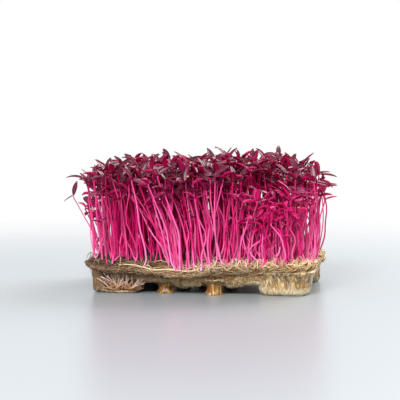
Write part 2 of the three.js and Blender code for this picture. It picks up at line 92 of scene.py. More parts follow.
# The posts, the right foot, and the seedling that leans far out at the left end
POSTS = [(-18.6, -32), (8.3, -36), (-18.6, 32), (8.3, 35), (-45, 0), (46, 0), (0, 0)]
RIGHT_FOOT_INNER_X = 31.6
STRAY = {"clump": 7, "foot_x": -3.2, "bow_x": -1, "x": -74.6, "y": -9, "z": 51, "thinness": 0.7,
         "roll": (75 * RADIANS, 10 * RADIANS)}

# The tuft's shoots and the long root's strands, which lie a little lower than their solids
TUFT = {"x": -42, "y": -37.2, "z": 2.0, "half_x": 6.6, "length": 8.2}
EDGE_ROOT = {"from_x": -43, "to_x": 11, "inset": 2.6, "lift": 1.0}


def ramp(value, start, reach):
    """From 0 at start to 1 where reach is over."""
    return min(1.0, max(0.0, (value - start) / reach))


def bell(value, width):
    return math.exp(-((value / width) ** 2))


def eased(share):
    """How far over a stem has come at a share of its height."""
    return share * (0.65 + 0.35 * share)


# Layout of the seedlings that the solids hold, by the same rule and the same draws


class Stream:
    """A repeatable stream of numbers."""

    def __init__(self, seed):
        self.state = seed & 0xFFFFFFFF

    def between(self, low, high):
        self.state = (self.state * 1664525 + 1013904223) & 0xFFFFFFFF
        return low + (high - low) * (self.state / 4294967296)


def front_dip(x, y):
    middle = bell(x - DIP_X, DIP_WIDTH)
    left = DIP_LEFT_SHARE * ramp(DIP_X - x, 0, DIP_LEFT_REACH)
    return (middle + left * (1 - middle)) * ramp(DIP_START_Y - y, 0, DIP_REACH) ** 2


def pad_top_z(x, y):
    hummocks = 0.5 * math.sin(x / 8 + 1) * math.cos(y / 6.5) + 0.3 * math.sin(x / 4.1 + y / 5.3)
    outward = math.sqrt(math.hypot((x / RIM_HALF_X) ** 2, (y / RIM_HALF_Y) ** 2))
    edge = ramp(outward, 0.75, 0.25)
    return PAD_TOP_Z + hummocks - EDGE_FALL * edge - DIP_DEPTH * front_dip(x, y)


def lean_at(x, y):
    """How far a stem's top leans from its foot: mostly left, and fanning apart in places along the front."""
    fan = sum(lean * bell(x - middle, width) for middle, width, lean in FANS)
    fan *= ramp(-y, -FAN_START_Y, FAN_REACH)
    end = LEAN["right_end"] * ramp(x, LEAN["end_x"], LEAN["end_reach"])
    return LEAN["x"] + LEAN["per_x"] * x + end + fan, LEAN["per_y"] * y


def canopy_at(x, y):
    """Height of the hubs: lower at the ends, and a low stand at the front right."""
    ends = LEFT_END["drop"] * ramp(-x, -LEFT_END["x"], LEFT_END["reach"])
    ends += RIGHT_END["drop"] * ramp(x, RIGHT_END["x"], RIGHT_END["reach"])
    low_stand = bell(x - LOW_STAND["x"], LOW_STAND["width"]) * ramp(-y, -LOW_STAND["y"], LOW_STAND["reach"])
    return CANOPY_Z + 1.5 * math.sin(x / 11) - ends - LOW_STAND["drop"] * low_stand


def closest(p, p_end, q, q_end):
    """Closest distances between straight segments, over arrays that broadcast."""
    u = p_end - p
    v = q_end - q
    w = p - q
    a = (u * u).sum(-1)
    e = (v * v).sum(-1)
    b = (u * v).sum(-1)
    c = (u * w).sum(-1)
    f = (v * w).sum(-1)
    spread = a * e - b * b
    apart = spread > 1e-9
    s = np.where(apart, np.clip((b * f - c * e) / np.where(apart, spread, 1), 0, 1), 0)
    t = (b * s + f) / e
    s = np.where(t < 0, np.clip(-c / a, 0, 1), np.where(t > 1, np.clip((b - c) / a, 0, 1), s))
    t = np.clip(t, 0, 1)
    return np.linalg.norm(w + u * s[..., None] - v * t[..., None], axis=-1)


def measured(starts, ends, **facts):
    """A piece of the layout: its segments, and the box round them."""
    low = np.minimum(starts.min(0), ends.min(0)).tolist()
    high = np.maximum(starts.max(0), ends.max(0)).tolist()
    return {"starts": starts, "ends": ends, "low": low, "high": high, **facts}


def clear_of(piece, others, least):
    low = [value - least for value in piece["low"]]
    high = [value + least for value in piece["high"]]
    near = [
        other
        for other in others
        if other["high"][0] >= low[0] and other["low"][0] <= high[0]
        and other["high"][1] >= low[1] and other["low"][1] <= high[1]
        and other["high"][2] >= low[2] and other["low"][2] <= high[2]
    ]
    if not near:
        return True
    starts = np.concatenate([other["starts"] for other in near])
    ends = np.concatenate([other["ends"] for other in near])
    gaps = closest(piece["starts"][:, None], piece["ends"][:, None], starts[None], ends[None])
    return bool(gaps.min() >= least)


def make_stem(foot, apex, bow):
    top = (apex[0], apex[1], apex[2] - STEM_GAP)
    points = []
    for k in range(STEM_PARTS + 1):
        share = k / STEM_PARTS
        ease = eased(share)
        swing = math.sin(math.pi * share)
        points.append((
            foot[0] + (top[0] - foot[0]) * ease + bow[0] * swing,
            foot[1] + (top[1] - foot[1]) * ease + bow[1] * swing,
            foot[2] + (top[2] - foot[2]) * share,
        ))
    points = np.array(points)
    return measured(points[:-1], points[1:], foot=foot, hub=apex, bow=bow)


def leaf_line(hub, heading, rise, droop, length):
    points = [hub]
    for part, share in enumerate(LEAF_PARTS):
        angle = rise - droop * part
        flat = share * length * math.cos(angle)
        x, y, z = points[part]
        points.append((
            x + flat * math.cos(heading),
            y + flat * math.sin(heading),
            z + share * length * math.sin(angle),
        ))
    return np.array(points)


def leaf_segments(points, heading, half_width):
    side = np.array([-math.sin(heading), math.cos(heading), 0])
    rails = []
    for edge in (-1, 0, 1):
        rail = points.copy()
        rail[1:3] += side * edge * half_width
        rails.append(rail)
    starts = np.concatenate([rail[:-1] for rail in rails])
    ends = np.concatenate([rail[1:] for rail in rails])
    return starts, ends


def draw_pair(random, hub, ahead, shrink):
    """A pair whose near leaf passes through the hub ahead, or heads freely where there is none."""
    length = shrink * LEAF_LENGTH * random.between(0.88, 1.12)
    half_width = LEAF_HALF_WIDTH * random.between(0.88, 1.08)
    droop = random.between(6, 16) * RADIANS
    heading = random.between(0, 2 * math.pi)
    rise = random.between(0, 35) * RADIANS
    if ahead:
        flat = math.hypot(ahead[0] - hub[0], ahead[1] - hub[1])
        reach = math.hypot(flat, ahead[2] - hub[2])
        length = max(length, 1.2 * reach)
        heading = math.atan2(ahead[1] - hub[1], ahead[0] - hub[0])
        shares = (LEAF_PARTS[0], LEAF_PARTS[0] + LEAF_PARTS[1])
        bends = sum(max(0, reach - share * length) for share in shares)
        rise = math.atan2(ahead[2] - hub[2], flat) + (droop * bends) / reach
    far_heading = heading + math.pi + random.between(-25, 25) * RADIANS
    far_rise = random.between(-5, 60) * RADIANS
    far_length = length * random.between(0.85, 1.05)
    near_leaf = (heading, rise, droop, length, half_width)
    leaves = [near_leaf, (far_heading, far_rise, droop, far_length, half_width)]
    parts = [leaf_segments(leaf_line(hub, *leaf[:4]), leaf[0], half_width) for leaf in leaves]
    starts, ends = (np.concatenate(side) for side in zip(*parts))
    return measured(starts, ends, hub=hub, leaves=leaves)


def clump_centres():
    centres = []
    for row in range(ROWS):
        for column in range(COLUMNS):
            is_corner = row in (0, ROWS - 1) and column in (0, COLUMNS - 1)
            pull = CORNER_PULL if is_corner else 1
            setback = FRONT_SETBACK if row == 0 and column < SETBACK_COLUMNS else 0
            x = pull * (column - (COLUMNS - 1) / 2) * COLUMN_PITCH
            centres.append((x, pull * (row - (ROWS - 1) / 2) * ROW_PITCH + setback))
    return centres


def crown_top_z(x, y):
    rim = CROWN_RADIUS
    spots = [(0, 0), (rim, 0), (-rim, 0), (0, rim), (0, -rim)]
    return min(pad_top_z(x + dx, y + dy) for dx, dy in spots) - CROWN_DEPTH


def draw_apex(random, foot, centre, before, level):
    lean_x, lean_y = lean_at(*centre)
    spread = 1.12
    z = before[2] + random.between(-2.6, 2.6) if before else level + random.between(-2, 2)
    return (
        centre[0] + (foot[0] - centre[0]) * spread + lean_x + random.between(-1.5, 1.5),
        centre[1] + (foot[1] - centre[1]) * spread + lean_y + random.between(-1.5, 1.5),
        min(level + 6, max(level - 6, z)),
    )


def pair_clear(pair, clump, others, near_stems):
    return clear_of(pair, clump["stems"][:-near_stems] + others["stems"], LEAF_TO_STEM) and clear_of(
        pair, clump["pairs"][:-1] + others["pairs"], LEAF_TO_LEAF
    )


def stem_clear(stem, clump, others):
    return clear_of(stem, others["stems"], STEM_TO_STEM) and clear_of(
        stem, clump["pairs"] + others["pairs"], LEAF_TO_STEM
    )


def stem_feet(random, centre, z):
    start = random.between(0, 2 * math.pi)
    feet = []
    for i in range(RING_STEMS + 1):
        angle = start + (2 * math.pi * i) / RING_STEMS
        radius = RING_RADIUS if i < RING_STEMS else 0
        feet.append((centre[0] + radius * math.cos(angle), centre[1] + radius * math.sin(angle), z))
    return feet


def last_pair(random, hub, clump, others):
    for attempt in range(TRIES):
        pair = draw_pair(random, hub, None, 1 - (0.5 * attempt) / TRIES)
        if pair_clear(pair, clump, others, 1):
            return pair
    return None


def grow_clump(random, centre, others):
    level = canopy_at(*centre) + random.between(-7, 4)
    feet = stem_feet(random, centre, crown_top_z(*centre) - 1)
    clump = {"stems": [], "pairs": []}
    before = None
    for foot in feet:
        for _ in range(TRIES):
            apex = draw_apex(random, foot, centre, before, level)
            bow_x = random.between(-2.2, 2.2)
            stem = make_stem(foot, apex, (bow_x, random.between(-2.2, 2.2)))
            if not stem_clear(stem, clump, others):
                continue
            clump["stems"].append(stem)
            pair = draw_pair(random, before, apex, 1) if before else None
            if pair and not pair_clear(pair, clump, others, 2):
                clump["stems"].pop()
                continue
            if pair:
                clump["pairs"].append(pair)
            before = apex
            break
    last = last_pair(random, before, clump, others) if before else None
    if last:
        clump["pairs"].append(last)
    elif clump["stems"]:
        clump["stems"].pop()
    return clump


def stray_of(centre):
    """The seedling that leans far out at the left end."""
    foot = (centre[0] + STRAY["foot_x"], centre[1], crown_top_z(*centre) - 1)
    hub = (STRAY["x"], STRAY["y"], STRAY["z"])
    upper = (20 * RADIANS, 80 * RADIANS, 6 * RADIANS, 8, 1.3)
    lower = (200 * RADIANS, -28 * RADIANS, 6 * RADIANS, 6.5, 1.1)
    return {"foot": foot, "hub": hub, "bow": (STRAY["bow_x"], 0)}, {"leaves": [upper, lower]}


def lay_clumps():
    clumps = []
    for number, centre in enumerate(clump_centres()):
        random = Stream(SEED + 7919 * number)
        others = {kind: [one for clump in clumps for one in clump[kind]] for kind in ("stems", "pairs")}
        best = None
        for _ in range(GOES):
            clump = grow_clump(random, centre, others)
            if best is None or len(clump["pairs"]) > len(best["pairs"]):
                best = clump
            if len(best["pairs"]) > RING_STEMS:
                break
        clumps.append(best)
    stem, pair = stray_of(clump_centres()[STRAY["clump"]])
    clumps[STRAY["clump"]]["stems"].append(stem)
    clumps[STRAY["clump"]]["pairs"].append(pair)
    return clumps


# Arrays of plants. Each plant is a row in every array.


def young_share(hubs):
    """How young and bright pairs of leaves are: more so low down, and a little more towards the right."""
    x, _, z = np.asarray(hubs).T
    return np.clip((CANOPY_Z - 7 - z) / 12 + 0.16 * np.clip((x - 8) / 35, 0, 1), 0, 1)


def plants_of(clump):
    """The seedlings of one clump of the solids."""
    plants = {key: np.array([stem[key] for stem in clump["stems"]]) for key in ("foot", "hub", "bow")}
    count = len(plants["foot"])
    x, y = np.abs(plants["foot"][0, :2])
    rng = np.random.RandomState(SEED + int(x * 1000) + int(y * 10))
    plants.update({
        "wave": rng.normal(0, 0.25, (count, 2)),
        "hook": np.zeros((count, 2)),
        "thick": rng.uniform(0.46, 0.58, count),
        "tone": rng.uniform(0, 1, count),
        "young": young_share(plants["hub"]),
        "leaves": np.array([pair["leaves"] for pair in clump["pairs"]]),
        "roll": rng.normal(0, 10, (count, 2)) * RADIANS,
        "curl": rng.uniform(0.05, 0.3, (count, 2)),
    })
    stray = plants["hub"][:, 0] < STRAY["x"] + 1
    plants["young"][stray] = 0
    plants["thick"][stray] *= STRAY["thinness"]
    plants["roll"][stray] = STRAY["roll"]
    return plants


def plants_at(rng, feet, hubs, bow=2.2, hook_share=0.25, length=(8.5, 12.5)):
    """Seedlings between the given feet and hubs, with leaves that head freely."""
    count = len(feet)
    heading = rng.uniform(0, 2 * math.pi, count)
    spread = rng.normal(0, 14, count) * RADIANS
    upright = rng.uniform(0, 1, (count, 2)) < 0.5
    rise = np.where(upright, rng.uniform(28, 72, (count, 2)), rng.uniform(-18, 28, (count, 2))) * RADIANS
    droop = rng.uniform(4, 26, (count, 2)) * RADIANS
    lengths = rng.uniform(length[0], length[1], (count, 1)) * rng.uniform(0.88, 1.06, (count, 2))
    half_widths = rng.uniform(1.35, 2.0, (count, 1)) * rng.uniform(0.92, 1.08, (count, 2))
    headings = np.stack([heading, heading + math.pi + spread], 1)
    hook_turn = rng.uniform(0, 2 * math.pi, count)
    hook_size = np.where(rng.uniform(0, 1, count) < hook_share, rng.uniform(1.5, 5, count), 0)
    return {
        "foot": np.asarray(feet, float),
        "hub": np.asarray(hubs, float),
        "bow": rng.normal(0, bow, (count, 2)),
        "wave": rng.normal(0, 0.7, (count, 2)),
        "hook": np.stack([hook_size * np.cos(hook_turn), hook_size * np.sin(hook_turn)], 1),
        "thick": rng.uniform(0.35, 0.54, count),
        "tone": rng.uniform(0, 1, count),
        "young": young_share(hubs),
        "leaves": np.stack([headings, rise, droop, lengths, half_widths], 2),
        "roll": rng.normal(0, 28, (count, 2)) * RADIANS,
        "curl": rng.uniform(0.1, 0.6, (count, 2)),
    }


def skin(rings):
    """Closed skins over rings of points, by piece, ring and point round: vertices, then faces, ends last."""
    pieces, length, around, _ = rings.shape
    starts = np.arange(pieces)[:, None] * length * around
    piece = starts[..., None]
    row = np.arange(length - 1)[None, :, None] * around
    this = np.arange(around)[None, None, :]
    corners = [piece + row + this, piece + row + (this + 1) % around]
    corners += [corners[1] + around, corners[0] + around]
    quads = np.stack(np.broadcast_arrays(*corners), -1).reshape(-1, 4)
    first = starts + np.arange(around)[None, ::-1]
    last = starts + (length - 1) * around + np.arange(around)[None, :]
    return rings.reshape(-1, 3), quads.tolist() + first.tolist() + last.tolist()


def across(tangents, reference):
    """Two unit vectors square to each tangent, the first as near as can be to the reference."""
    side = reference - tangents * (tangents * reference).sum(-1, keepdims=True)
    side /= np.linalg.norm(side, axis=-1, keepdims=True)
    return side, np.cross(tangents, side)


def tubes(lines, radii, sides, reference):
    """Rings round middle lines. lines is (pieces, points, 3), radii (pieces, points)."""
    tangents = np.gradient(lines, axis=1)
    tangents /= np.maximum(np.linalg.norm(tangents, axis=-1, keepdims=True), 1e-9)
    side, over = across(tangents, reference)
    turns = np.arange(sides) * 2 * math.pi / sides
    spread = side[:, :, None] * np.cos(turns)[:, None] + over[:, :, None] * np.sin(turns)[:, None]
    return lines[:, :, None] + spread * radii[:, :, None, None]


# Meshes


def put(name, data):
    thing = bpy.data.objects.new(name, data)
    bpy.context.scene.collection.objects.link(thing)
    return thing


def add_piece(name, vertices, faces, materials, slot, numbers, replaces=(), face_materials=None):
    """Makes a mesh in metres that rides on the block. numbers holds one value a vertex for each name."""
    mesh = bpy.data.meshes.new(name)
    mesh.from_pydata((np.asarray(vertices) * MM).tolist(), [], faces)
    mesh.polygons.foreach_set("use_smooth", np.ones(len(mesh.polygons), bool))
    for material in materials:
        mesh.materials.append(material)
    if face_materials is not None:
        mesh.polygons.foreach_set("material_index", face_materials)
    for label, values in numbers.items():
        attribute = mesh.attributes.new(label, "FLOAT", "POINT")
        attribute.data.foreach_set("value", np.asarray(values, np.float32))
    mesh.update()
    piece = put(name, mesh)
    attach(piece, "root")
    if replaces:
        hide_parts(*replaces)
    return piece


STEM_RINGS = 13
STEM_SIDES = 7


def stem_lines(plants):
    """Middle lines of stems from foot to hub, bowed, waved and hooked at the base."""
    share = np.concatenate([np.linspace(0, 0.12, 4)[:-1], np.linspace(0.12, 1, STEM_RINGS - 4)])
    foot = plants["foot"][:, None, :]
    hub = plants["hub"][:, None, :]
    top = hub - np.array([0, 0, STEM_GAP])
    line = foot + (top - foot) * eased(share)[None, :, None]
    line[..., 2] = foot[..., 2] + (top[..., 2] - foot[..., 2]) * share
    swing = np.sin(math.pi * share)[None, :, None]
    ripple = np.sin(3 * math.pi * share)[None, :, None] * swing
    hook = (np.clip(1 - share / 0.13, 0, 1) ** 2)[None, :, None]
    line[..., :2] += plants["bow"][:, None] * swing + plants["wave"][:, None] * ripple
    line[..., :2] += plants["hook"][:, None] * hook
    line = np.concatenate([line, hub - np.array([0, 0, 0.1])], 1)
    return line, np.append(share, 1.03)


def painted_light_by_depth(feet):
    """1 for stems that stand at the rim, less for those deep in the block, whose colour it darkens as painted
    shade.
    """
    inside = np.minimum(RIM_HALF_X - np.abs(feet[:, 0]), RIM_HALF_Y - np.abs(feet[:, 1]))
    return np.clip(1.6 - inside / 12, 0.12, 1)


def add_stems(name, plants, replaces=()):
    lines, share = stem_lines(plants)
    taper = 1.08 - 0.3 * share + 0.1 * np.exp(-((share - 1) / 0.05) ** 2)
    rings = tubes(lines, plants["thick"][:, None] * taper, STEM_SIDES, np.array([1.0, 0.13, 0.0]))
    # The stems' tone number is their random tone times painted shade that darkens stems deep in the stand.
    tone = np.repeat(plants["tone"] * painted_light_by_depth(plants["foot"]), len(share) * STEM_SIDES)
    numbers = {"along": np.tile(np.repeat(share, STEM_SIDES), len(lines)), "tone": tone}
    add_piece(name, *skin(rings), [STEM_SKIN], "stem_pink", numbers, replaces)


LEAF_RINGS = 9
LEAF_COLUMNS = 4
UP = np.array([0.0, 0.0, 1.0])


def leaf_rings(plants):
    """Rings of every leaf: a lens-shaped section, folded up at the edges, along a drooping middle line."""
    heading, rise, droop, length, half_width = plants["leaves"].reshape(-1, 5).T
    curl = plants["curl"].reshape(-1, 1, 1)
    roll = plants["roll"].reshape(-1, 1, 1)
    share = np.linspace(0, 1, LEAF_RINGS)
    middle = (share[1:] + share[:-1]) / 2
    angle = rise[:, None] - droop[:, None] * (middle - LEAF_PARTS[0] / 2) / LEAF_PARTS[0]
    forward = np.stack([np.cos(heading), np.sin(heading), np.zeros_like(heading)], -1)[:, None]
    steps = forward * np.cos(angle)[..., None] + UP * np.sin(angle)[..., None]
    steps *= length[:, None, None] / (LEAF_RINGS - 1)
    line = np.pad(np.cumsum(steps, 1), ((0, 0), (1, 0), (0, 0)))
    line = line + np.repeat(plants["hub"], 2, axis=0)[:, None]
    tangent = np.gradient(line, axis=1)
    tangent /= np.linalg.norm(tangent, axis=-1, keepdims=True)
    level = np.broadcast_to(np.cross(UP, forward), tangent.shape)
    normal = np.cross(tangent, level)
    side = level * np.cos(roll) + normal * np.sin(roll)
    up = normal * np.cos(roll) - level * np.sin(roll)
    outline = np.sin(math.pi * np.clip(share, 0.02, 0.985) ** 0.82) ** 0.72
    petiole = 0.3 * np.exp(-((share / 0.1) ** 2))
    width = (half_width[:, None] * outline + petiole)[..., None]
    upper = np.linspace(1, -1, LEAF_COLUMNS + 1)
    under = upper[-2:0:-1]
    groove = np.broadcast_to(0.12 * (1 - upper**2) ** 3, (LEAF_RINGS, len(upper)))
    thickness = 0.34 * np.sqrt(np.clip(1 - share * 0.9, 0.05, 1))[:, None]
    keel = 0.16 * np.exp(-((under / 0.3) ** 2))
    columns = np.concatenate([upper, under])
    sunk = np.concatenate([groove, thickness * (1 - under**2) + keel], 1)
    raised = curl * width * columns**2 - sunk
    rings = side[:, :, None] * (width * columns)[..., None] + up[:, :, None] * raised[..., None]
    return rings + line[:, :, None], share, columns


def add_leaves(name, plants, replaces=()):
    rings, share, columns = leaf_rings(plants)
    vertices, faces = skin(rings)
    leaves, length, around, _ = rings.shape
    numbers = {label: np.repeat(plants[label], 2 * length * around) for label in ("tone", "young")}
    numbers["along"] = np.tile(np.repeat(share, around), leaves)
    numbers["rib"] = np.tile(np.abs(columns), leaves * length)
    is_under = np.zeros(len(faces), np.int32)
    bands = leaves * (length - 1)
    is_under[:bands * around] = np.tile(np.arange(around) >= LEAF_COLUMNS, bands)
    add_piece(name, vertices, faces, [LEAF_UPPER, LEAF_UNDER], "leaf_wine", numbers, replaces, is_under)


# Noise and outlines

LATTICE_SIZE = 32
LATTICE = np.random.RandomState(SEED).uniform(-1, 1, (LATTICE_SIZE,) * 3)

# Waves of the rim: size, how many round the block, phase
RAGGED = [(0.55, 5, 1), (0.45, 9, 2.2), (0.3, 16, 0.4)]


def noise(points, size, octaves=3):
    """Smooth noise from about -1 to 1, with bumps of about the given size in millimetres."""
    total = np.zeros(len(points))
    for octave in range(octaves):
        cell = np.asarray(points) / np.asarray(size) * 2**octave + 7.3 * octave
        base = np.floor(cell).astype(int)
        part = cell - base
        part = part * part * (3 - 2 * part)
        for corner in range(8):
            step = np.array([corner & 1, corner >> 1 & 1, corner >> 2 & 1])
            spot = (base + step) % LATTICE_SIZE
            total += 0.5**octave * np.where(step, part, 1 - part).prod(1) * LATTICE[tuple(spot.T)]
    return total


def rim_points(inset, shares):
    """Points round the ragged outline, drawn in by inset, counter-clockwise from the middle of the right."""
    corner = RIM_CORNER - inset / 3
    x = RIM_HALF_X - inset - corner
    y = RIM_HALF_Y - inset - corner
    arc = math.pi / 2 * corner
    ends = np.cumsum([0, y, arc, 2 * x, arc, 2 * y, arc, 2 * x, arc, y])
    distance = np.asarray(shares) * ends[-1]
    turn = np.interp(distance, ends, np.arange(10) // 2 * math.pi / 2)
    centre_x = np.interp(distance, ends, x * np.array([1, 1, 1, -1, -1, -1, -1, 1, 1, 1]))
    centre_y = np.interp(distance, ends, y * np.array([0, 1, 1, 1, 1, -1, -1, -1, -1, 0]))
    points = np.stack([centre_x + corner * np.cos(turn), centre_y + corner * np.sin(turn)], 1)
    turns = 2 * math.pi * np.asarray(shares)
    ragged = sum(size * np.sin(waves * turns + phase) for size, waves, phase in RAGGED)
    return points * (1 + ragged / RIM_HALF_X)[:, None]


top_z = np.vectorize(pad_top_z)
dip_share = np.vectorize(front_dip)


def mesh_arrays(mesh):
    """Vertices in millimetres and their normals."""
    vertices = np.empty(len(mesh.vertices) * 3)
    normals = np.empty(len(mesh.vertices) * 3)
    mesh.vertices.foreach_get("co", vertices)
    mesh.vertex_normals.foreach_get("vector", normals)
    return vertices.reshape(-1, 3) / MM, normals.reshape(-1, 3)


# The growing pad and the root mat

PAD_AROUND = 460
PAD_WALL_RINGS = 22
PAD_TOP_RINGS = 44

# The pad's wall from below: how far in, height
PAD_WALL = [
    (5.6, 8.0),
    (4.8, 8.9),
    (4.6, 10.2),
    (4.2, 11.2),
    (2.7, 12.8),
    (1.2, 14.2),
    (0.4, 15.0),
    (0, PAD_RIM_Z),
]


def add_pad():
    """The fibre pad: a ragged flared wall, a soft lip, and a hummocky top."""
    shares = np.arange(PAD_AROUND) / PAD_AROUND
    insets, heights = np.array(PAD_WALL).T
    stations = np.linspace(0, 1, len(PAD_WALL))
    rings = []
    for share in np.linspace(0, 1, PAD_WALL_RINGS):
        ring = rim_points(np.interp(share, stations, insets), shares)
        z = np.interp(share, stations, heights)
        sag = ramp(z, PAD_BOTTOM_Z, PAD_RIM_Z - PAD_BOTTOM_Z) * DIP_DEPTH
        rings.append(np.column_stack([ring, z - sag * dip_share(*ring.T)]))
    rim = rings[-1]
    for number, shrink in enumerate(1 - np.linspace(0.004, 1, PAD_TOP_RINGS) ** 1.35):
        ring = rim * np.array([shrink, shrink, 1])
        blend = min(1.0, (number + 1) / 4) ** 0.6
        ring[:, 2] = rim[:, 2] + (top_z(ring[:, 0], ring[:, 1]) - rim[:, 2]) * blend
        rings.append(ring)
    vertices, faces = skin(np.array(rings)[None])
    inward = np.clip((np.arange(len(rings)) - PAD_WALL_RINGS) / 5, 0, 1)
    numbers = {"cream": 0.7 * cream_share(vertices), "soil": np.repeat(inward, PAD_AROUND)}
    pad = add_piece("growing_pad_fibre", vertices, faces, [PAD_FIBRE], "pad_fibre", numbers, ["growing_pad"])
    flat, normals = mesh_arrays(pad.data)
    bumps = 0.42 * noise(flat, 3.4) + 0.2 * noise(flat + 40, 0.9, 2)
    roughness = np.clip((np.hypot(flat[:, 0] / RIM_HALF_X, flat[:, 1] / RIM_HALF_Y) - 0.3) / 0.4, 0.2, 1)
    rough = flat + normals * (bumps * roughness)[:, None]
    pad.data.vertices.foreach_set("co", (rough * MM).reshape(-1))
    pad.data.update()
    return pad


def cream_share(points):
    """How much pale root there is at a point: little at the left, most at the right and round the feet."""
    points = np.asarray(points)
    return np.clip(0.55 + points[:, 0] / 90 + (14 - points[:, 2]) / 60 + 0.22 * noise(points, 9.0, 2), 0, 1)


# The skins of roots that clothe the feet and the wall over them: x, y, half lengths along x and y, corner,
# and how much of the stack's flare they have
FACINGS = [
    (46.3, -28.4, 13.5, 11.4, 8, 1.0),
    (46.3, 28.4, 13.5, 11.4, 8, 0.3),
    (-44.5, 28.4, 12.9, 11.4, 8, 0.7),
    (-55, -27.6, 2.6, 11.4, 2.5, 0.15),
]
FACING_STACK = [(1.0, -0.6), (3.0, 0.5), (6.5, 0.9), (9.0, 1.4), (11.5, 2.9), (13.4, 4.4)]
UNFLARED_GROWTH = 0.8

# Bundles of roots that spread from each post over the surface and into the mat above
FLARE_STACK = [(0, 2.0), (1.0, 1.4), (2.2, 0.2), (4.5, 0.5), (6.5, 2.0), (8.5, 4.4)]
FLARE_HALF_X = 3.7
FLARE_HALF_Y = 3.4

# Felt that hangs under the wall beside the posts: x, y, half lengths along x and y, corner
HANGING = [
    (-5.5, -35.3, 8.5, 3.6, 3.4),
    (18.5, -35.3, 7, 3.6, 3.4),
    (-5.5, 34, 8, 3.6, 3.4),
    (19, 34, 7, 3.6, 3.4),
]
HANGING_STACK = [(4.2, -2.4), (5.0, -1.0), (6.6, 0.1), (9.0, 1.0)]
STACK_POINTS = 48
VOXEL = 0.85


def stack_rings(stack, x, y, half_x, half_y, corner, flare=1):
    """Rounded rectangles one over the other, each grown by its own amount."""
    turns = np.arange(STACK_POINTS) * 2 * math.pi / STACK_POINTS
    rings = []
    for z, full_growth in stack:
        grow = flare * full_growth + (1 - flare) * UNFLARED_GROWTH
        out_x = np.sign(np.cos(turns)) * (half_x - corner) + (corner + grow) * np.cos(turns)
        out_y = np.sign(np.sin(turns)) * (half_y - corner) + (corner + grow) * np.sin(turns)
        rings.append(np.column_stack([x + out_x, y + out_y, np.full(STACK_POINTS, z)]))
    return np.array(rings)[None]


def root_mat_source():
    """The root mat's own solid and the skins of roots round its feet and posts, as one mesh in metres."""
    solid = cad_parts["root_mat"].data
    vertices = [tuple(vertex.co) for vertex in solid.vertices]
    faces = [tuple(face.vertices) for face in solid.polygons]
    stacks = [stack_rings(FACING_STACK, *facing) for facing in FACINGS]
    stacks += [stack_rings(FLARE_STACK, *post, FLARE_HALF_X, FLARE_HALF_Y, FLARE_HALF_Y) for post in POSTS]
    stacks += [stack_rings(HANGING_STACK, *felt) for felt in HANGING]
    for rings in stacks:
        base = len(vertices)
        points, stack_faces = skin(rings)
        vertices += (points * MM).tolist()
        faces += [[base + corner for corner in face] for face in stack_faces]
    mesh = bpy.data.meshes.new("root_mat_source")
    mesh.from_pydata(vertices, [], faces)
    return mesh


def rounded(mesh):
    """A copy of the mesh as one closed skin with soft edges."""
    source = put("root_mat_source", mesh)
    remesh = source.modifiers.new("fine", "REMESH")
    remesh.mode = "VOXEL"
    remesh.voxel_size = VOXEL * MM
    smooth = source.modifiers.new("round", "SMOOTH")
    smooth.factor = 0.5
    smooth.iterations = 5
    fine = bpy.data.meshes.new_from_object(source.evaluated_get(bpy.context.evaluated_depsgraph_get()))
    bpy.data.objects.remove(source)
    return fine


def amber_share(points):
    """1 on the posts, which are golden, and 0 away from them."""
    away = [np.hypot(points[:, 0] - x, points[:, 1] - y) for x, y in POSTS]
    return np.clip(1.9 - np.min(away, axis=0) / 4.2, 0, 1) * np.clip((8 - points[:, 2]) / 3, 0, 1)


def add_root_mat():
    """The root mat, rounded, with upright streaks where roots ran down the tray's wells."""
    mesh = rounded(root_mat_source())
    flat, normals = mesh_arrays(mesh)
    faces = [tuple(face.vertices) for face in mesh.polygons]
    bpy.data.meshes.remove(mesh)
    amber = amber_share(flat)
    streaks = (0.2 + 0.5 * amber) * noise(flat, (1.7, 1.7, 9.0), 2)
    lumps = 0.32 * noise(flat + 17, 5.0, 2)
    grown = flat + normals * (streaks + lumps)[:, None]
    grown[:, 2] = np.where(flat[:, 2] < 0.6, flat[:, 2] - flat[:, 2].min(), np.maximum(grown[:, 2], 0.05))
    inward = grown[:, 0] - RIGHT_FOOT_INNER_X
    z = grown[:, 2]
    on_foot = np.clip(inward / 0.8 + 1, 0, 1)
    from_edge = np.clip((inward - 1.6) / 2.4, 0, 1)
    over_band = np.clip((z - 2) / 2.5, 0, 1)
    numbers = {
        "cream": np.maximum(cream_share(grown), 0.95 * on_foot),
        "amber": amber,
        "soil": np.where(on_foot > 0.5, 0.95 * over_band * from_edge, 0.85 * np.clip((z - 1.2) / 2.5, 0, 1)),
        # Pale band along the right foot's bottom, and a painted highlight down its left edge.
        "rind_and_edge_highlight": on_foot * np.maximum(1 - from_edge, 0.85 * (1 - over_band)) * np.clip((14 - z) / 3, 0, 1),
    }
    return add_piece("root_mat_flesh", grown, faces, [ROOT_FLESH], "root_flesh", numbers, ["root_mat"])


class Ground:
    """The rough surface that fibres, crumbs and roots lie on."""

    def __init__(self, pieces):
        vertices = []
        faces = []
        for piece in pieces:
            base = len(vertices)
            vertices += [tuple(vertex.co / MM) for vertex in piece.data.vertices]
            faces += [[base + v for v in face.vertices] for face in piece.data.polygons]
        self.tree = BVHTree.FromPolygons(vertices, faces)

    def nearest(self, point):
        spot, normal, _, _ = self.tree.find_nearest(Vector(point))
        return np.array(spot), np.array(normal)

    def walk(self, rng, start, heading, steps, step, wander, lift, loop):
        """A line of points over the surface, raised by lift and arched off it by loop in its middle."""
        point, normal = self.nearest(start)
        heading = np.asarray(heading, float)
        line = []
        for i in range(steps):
            rise = lift + loop * math.sin(math.pi * i / (steps - 1))
            line.append(point + normal * rise)
            heading = heading + rng.normal(0, wander, 3)
            heading = heading - normal * heading.dot(normal)
            heading = heading / max(np.linalg.norm(heading), 1e-6)
            point, normal = self.nearest(point + heading * step)
        return line


# Fibres, roots, shoots, crumbs and hulls

